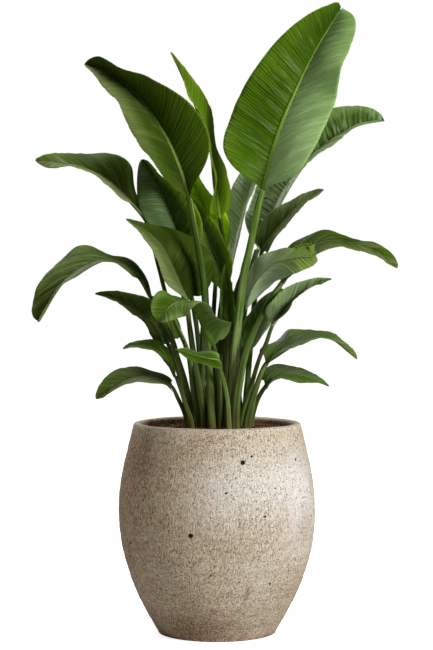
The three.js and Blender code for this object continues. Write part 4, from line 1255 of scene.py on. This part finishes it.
def bed_skin():
    """The soil as one closed lump with an uneven top."""
    wall = [(z, r - 1.2) for z, r in POT_INSIDE[::-1]]
    side = outline([(SOIL_FOOT, 60), *[(max(z, SOIL_FOOT + 0.2), r) for z, r in wall[:-1]]], 12)
    edge = side[-1][1]
    top_r = np.linspace(edge, 2.5, SOIL_RINGS)
    turn = np.linspace(0, 2 * math.pi, SOIL_TURNS, endpoint=False)[None, :]
    top_z = SOIL_EDGE + SOIL_RISE * (1 - (top_r / edge) ** 2)
    rows_r = np.concatenate([side[:, 1], top_r[1:]])[:, None]
    rows_z = np.concatenate([side[:, 0], top_z[1:]])[:, None]
    x, y = rows_r * np.cos(turn), rows_r * np.sin(turn)
    lumps = sum(strength * np.sin(x / size + a) * np.sin(y / size + b)
                for size, strength, a, b in ((2.1, 0.5, 1, 2), (3.7, 0.8, 4, 1), (7.3, 0.9, 2, 5),
                                             (17, 0.8, 3, 3)))
    is_top = (np.arange(len(rows_r)) >= len(side))[:, None]
    z = rows_z + lumps * is_top
    points = np.stack([x, y, z + 0 * x], -1).reshape(-1, 3)
    foot_middle = len(points)
    last_ring = foot_middle - SOIL_TURNS
    points = np.vstack([points, [0, 0, SOIL_FOOT], [0, 0, SOIL_TOP]])
    faces = tube_faces(len(rows_r), SOIL_TURNS).tolist()
    for k in range(SOIL_TURNS):
        n = (k + 1) % SOIL_TURNS
        faces += [[foot_middle, n, k], [foot_middle + 1, last_ring + k, last_ring + n]]
    return skin("soil_bed", points * MM, faces)


bed = bed_skin()
print("soil faces:", len(bed.data.polygons))

# %% Crumbs and bark
CRUMBS = 1500
CRUMB_REACH = 150


def lump(size, squash):
    """A rough little lump: an icosahedron's points, each pushed in or out, and its faces."""
    g = (1 + 5 ** 0.5) / 2
    corner = np.array([(-1, g, 0), (1, g, 0), (-1, -g, 0), (1, -g, 0), (0, -1, g), (0, 1, g), (0, -1, -g),
                       (0, 1, -g), (g, 0, -1), (g, 0, 1), (-g, 0, -1), (-g, 0, 1)], float)
    sides = [(0, 11, 5), (0, 5, 1), (0, 1, 7), (0, 7, 10), (0, 10, 11), (1, 5, 9), (5, 11, 4), (11, 10, 2),
             (10, 7, 6), (7, 1, 8), (3, 9, 4), (3, 4, 2), (3, 2, 6), (3, 6, 8), (3, 8, 9), (4, 9, 5),
             (2, 4, 11), (6, 2, 10), (8, 6, 7), (9, 8, 1)]
    corner = corner / np.linalg.norm(corner, axis=1)[:, None]
    corner = corner * chance.uniform(0.72, 1.25, (12, 1)) * size * squash
    spin = np.linalg.qr(chance.normal(size=(3, 3)))[0]
    spin = spin * np.sign(np.linalg.det(spin))
    return corner @ spin, sides


def crumbs_skin(stalk_feet):
    """Loose crumbs and bark chips on the soil."""
    points, faces = [], []
    for k in range(CRUMBS):
        if k % 3 == 0:
            foot = stalk_feet[chance.integers(len(stalk_feet))]
            x, y = foot[:2] + chance.normal(0, 13, 2)
        else:
            radius, turn = CRUMB_REACH * chance.uniform(0, 1) ** 0.5, chance.uniform(0, 2 * math.pi)
            x, y = radius * math.cos(turn), radius * math.sin(turn)
        radius = math.hypot(x, y)
        if radius > CRUMB_REACH:
            continue
        bark = chance.uniform() < 0.16
        size = chance.uniform(2.2, 4.6) if bark else chance.uniform(0.9, 3.2)
        squash = (1, 0.55, 0.28) if bark else (1, 0.85, 0.7)
        corner, sides = lump(size, np.array(squash))
        top = SOIL_EDGE + SOIL_RISE * (1 - (radius / SOIL_RADIUS) ** 2)
        place = np.array([x, y, top + 0.4 * size])
        faces += [[len(points) + a for a in side] for side in sides]
        points += (corner + place).tolist()
    return skin("soil_crumbs", np.array(points) * MM, faces)


crumbs = crumbs_skin([leaf.line[0] for leaf in leaves])
print("crumb faces:", len(crumbs.data.polygons))

# %% Dark, crumbly soil
def soil_finish():
    """Dark brown peat with reddish and tan crumbs, each crumb its own shade."""
    material, tree, shader = fresh_material("peat_and_bark", 0.9, 0.25)
    point = wire(tree, "TexCoord").outputs["Object"]
    cells = wire(tree, "TexVoronoi", {"Vector": point, "Scale": 230})
    odds = wire(tree, "SeparateColor", {0: cells.outputs["Color"]}).outputs
    fluff = noise(tree, point, 900.0, 3.0, 0.7)
    colour = coats(tree, blend(tree, odds[0], shade(44, 26, 18), shade(84, 52, 36)),
                   (ramp(tree, odds[1], 0.72, 0.95), shade(134, 84, 54)),
                   (times(tree, fluff, 0.4), shade(20, 14, 10)))
    surface(tree, shader, colour, ramp(tree, fluff, 0.3, 0.7, 0.8, 0.97),
            sums(tree, "SUBTRACT", fluff, cells.outputs["Distance"]), 0.8, 0.0015)
    return material


soil_paint = soil_finish()
for soil_piece in (bed, crumbs):
    dress(soil_piece, "soil", "soil", soil_paint)
print("soil paint nodes:", len(soil_paint.node_tree.nodes))
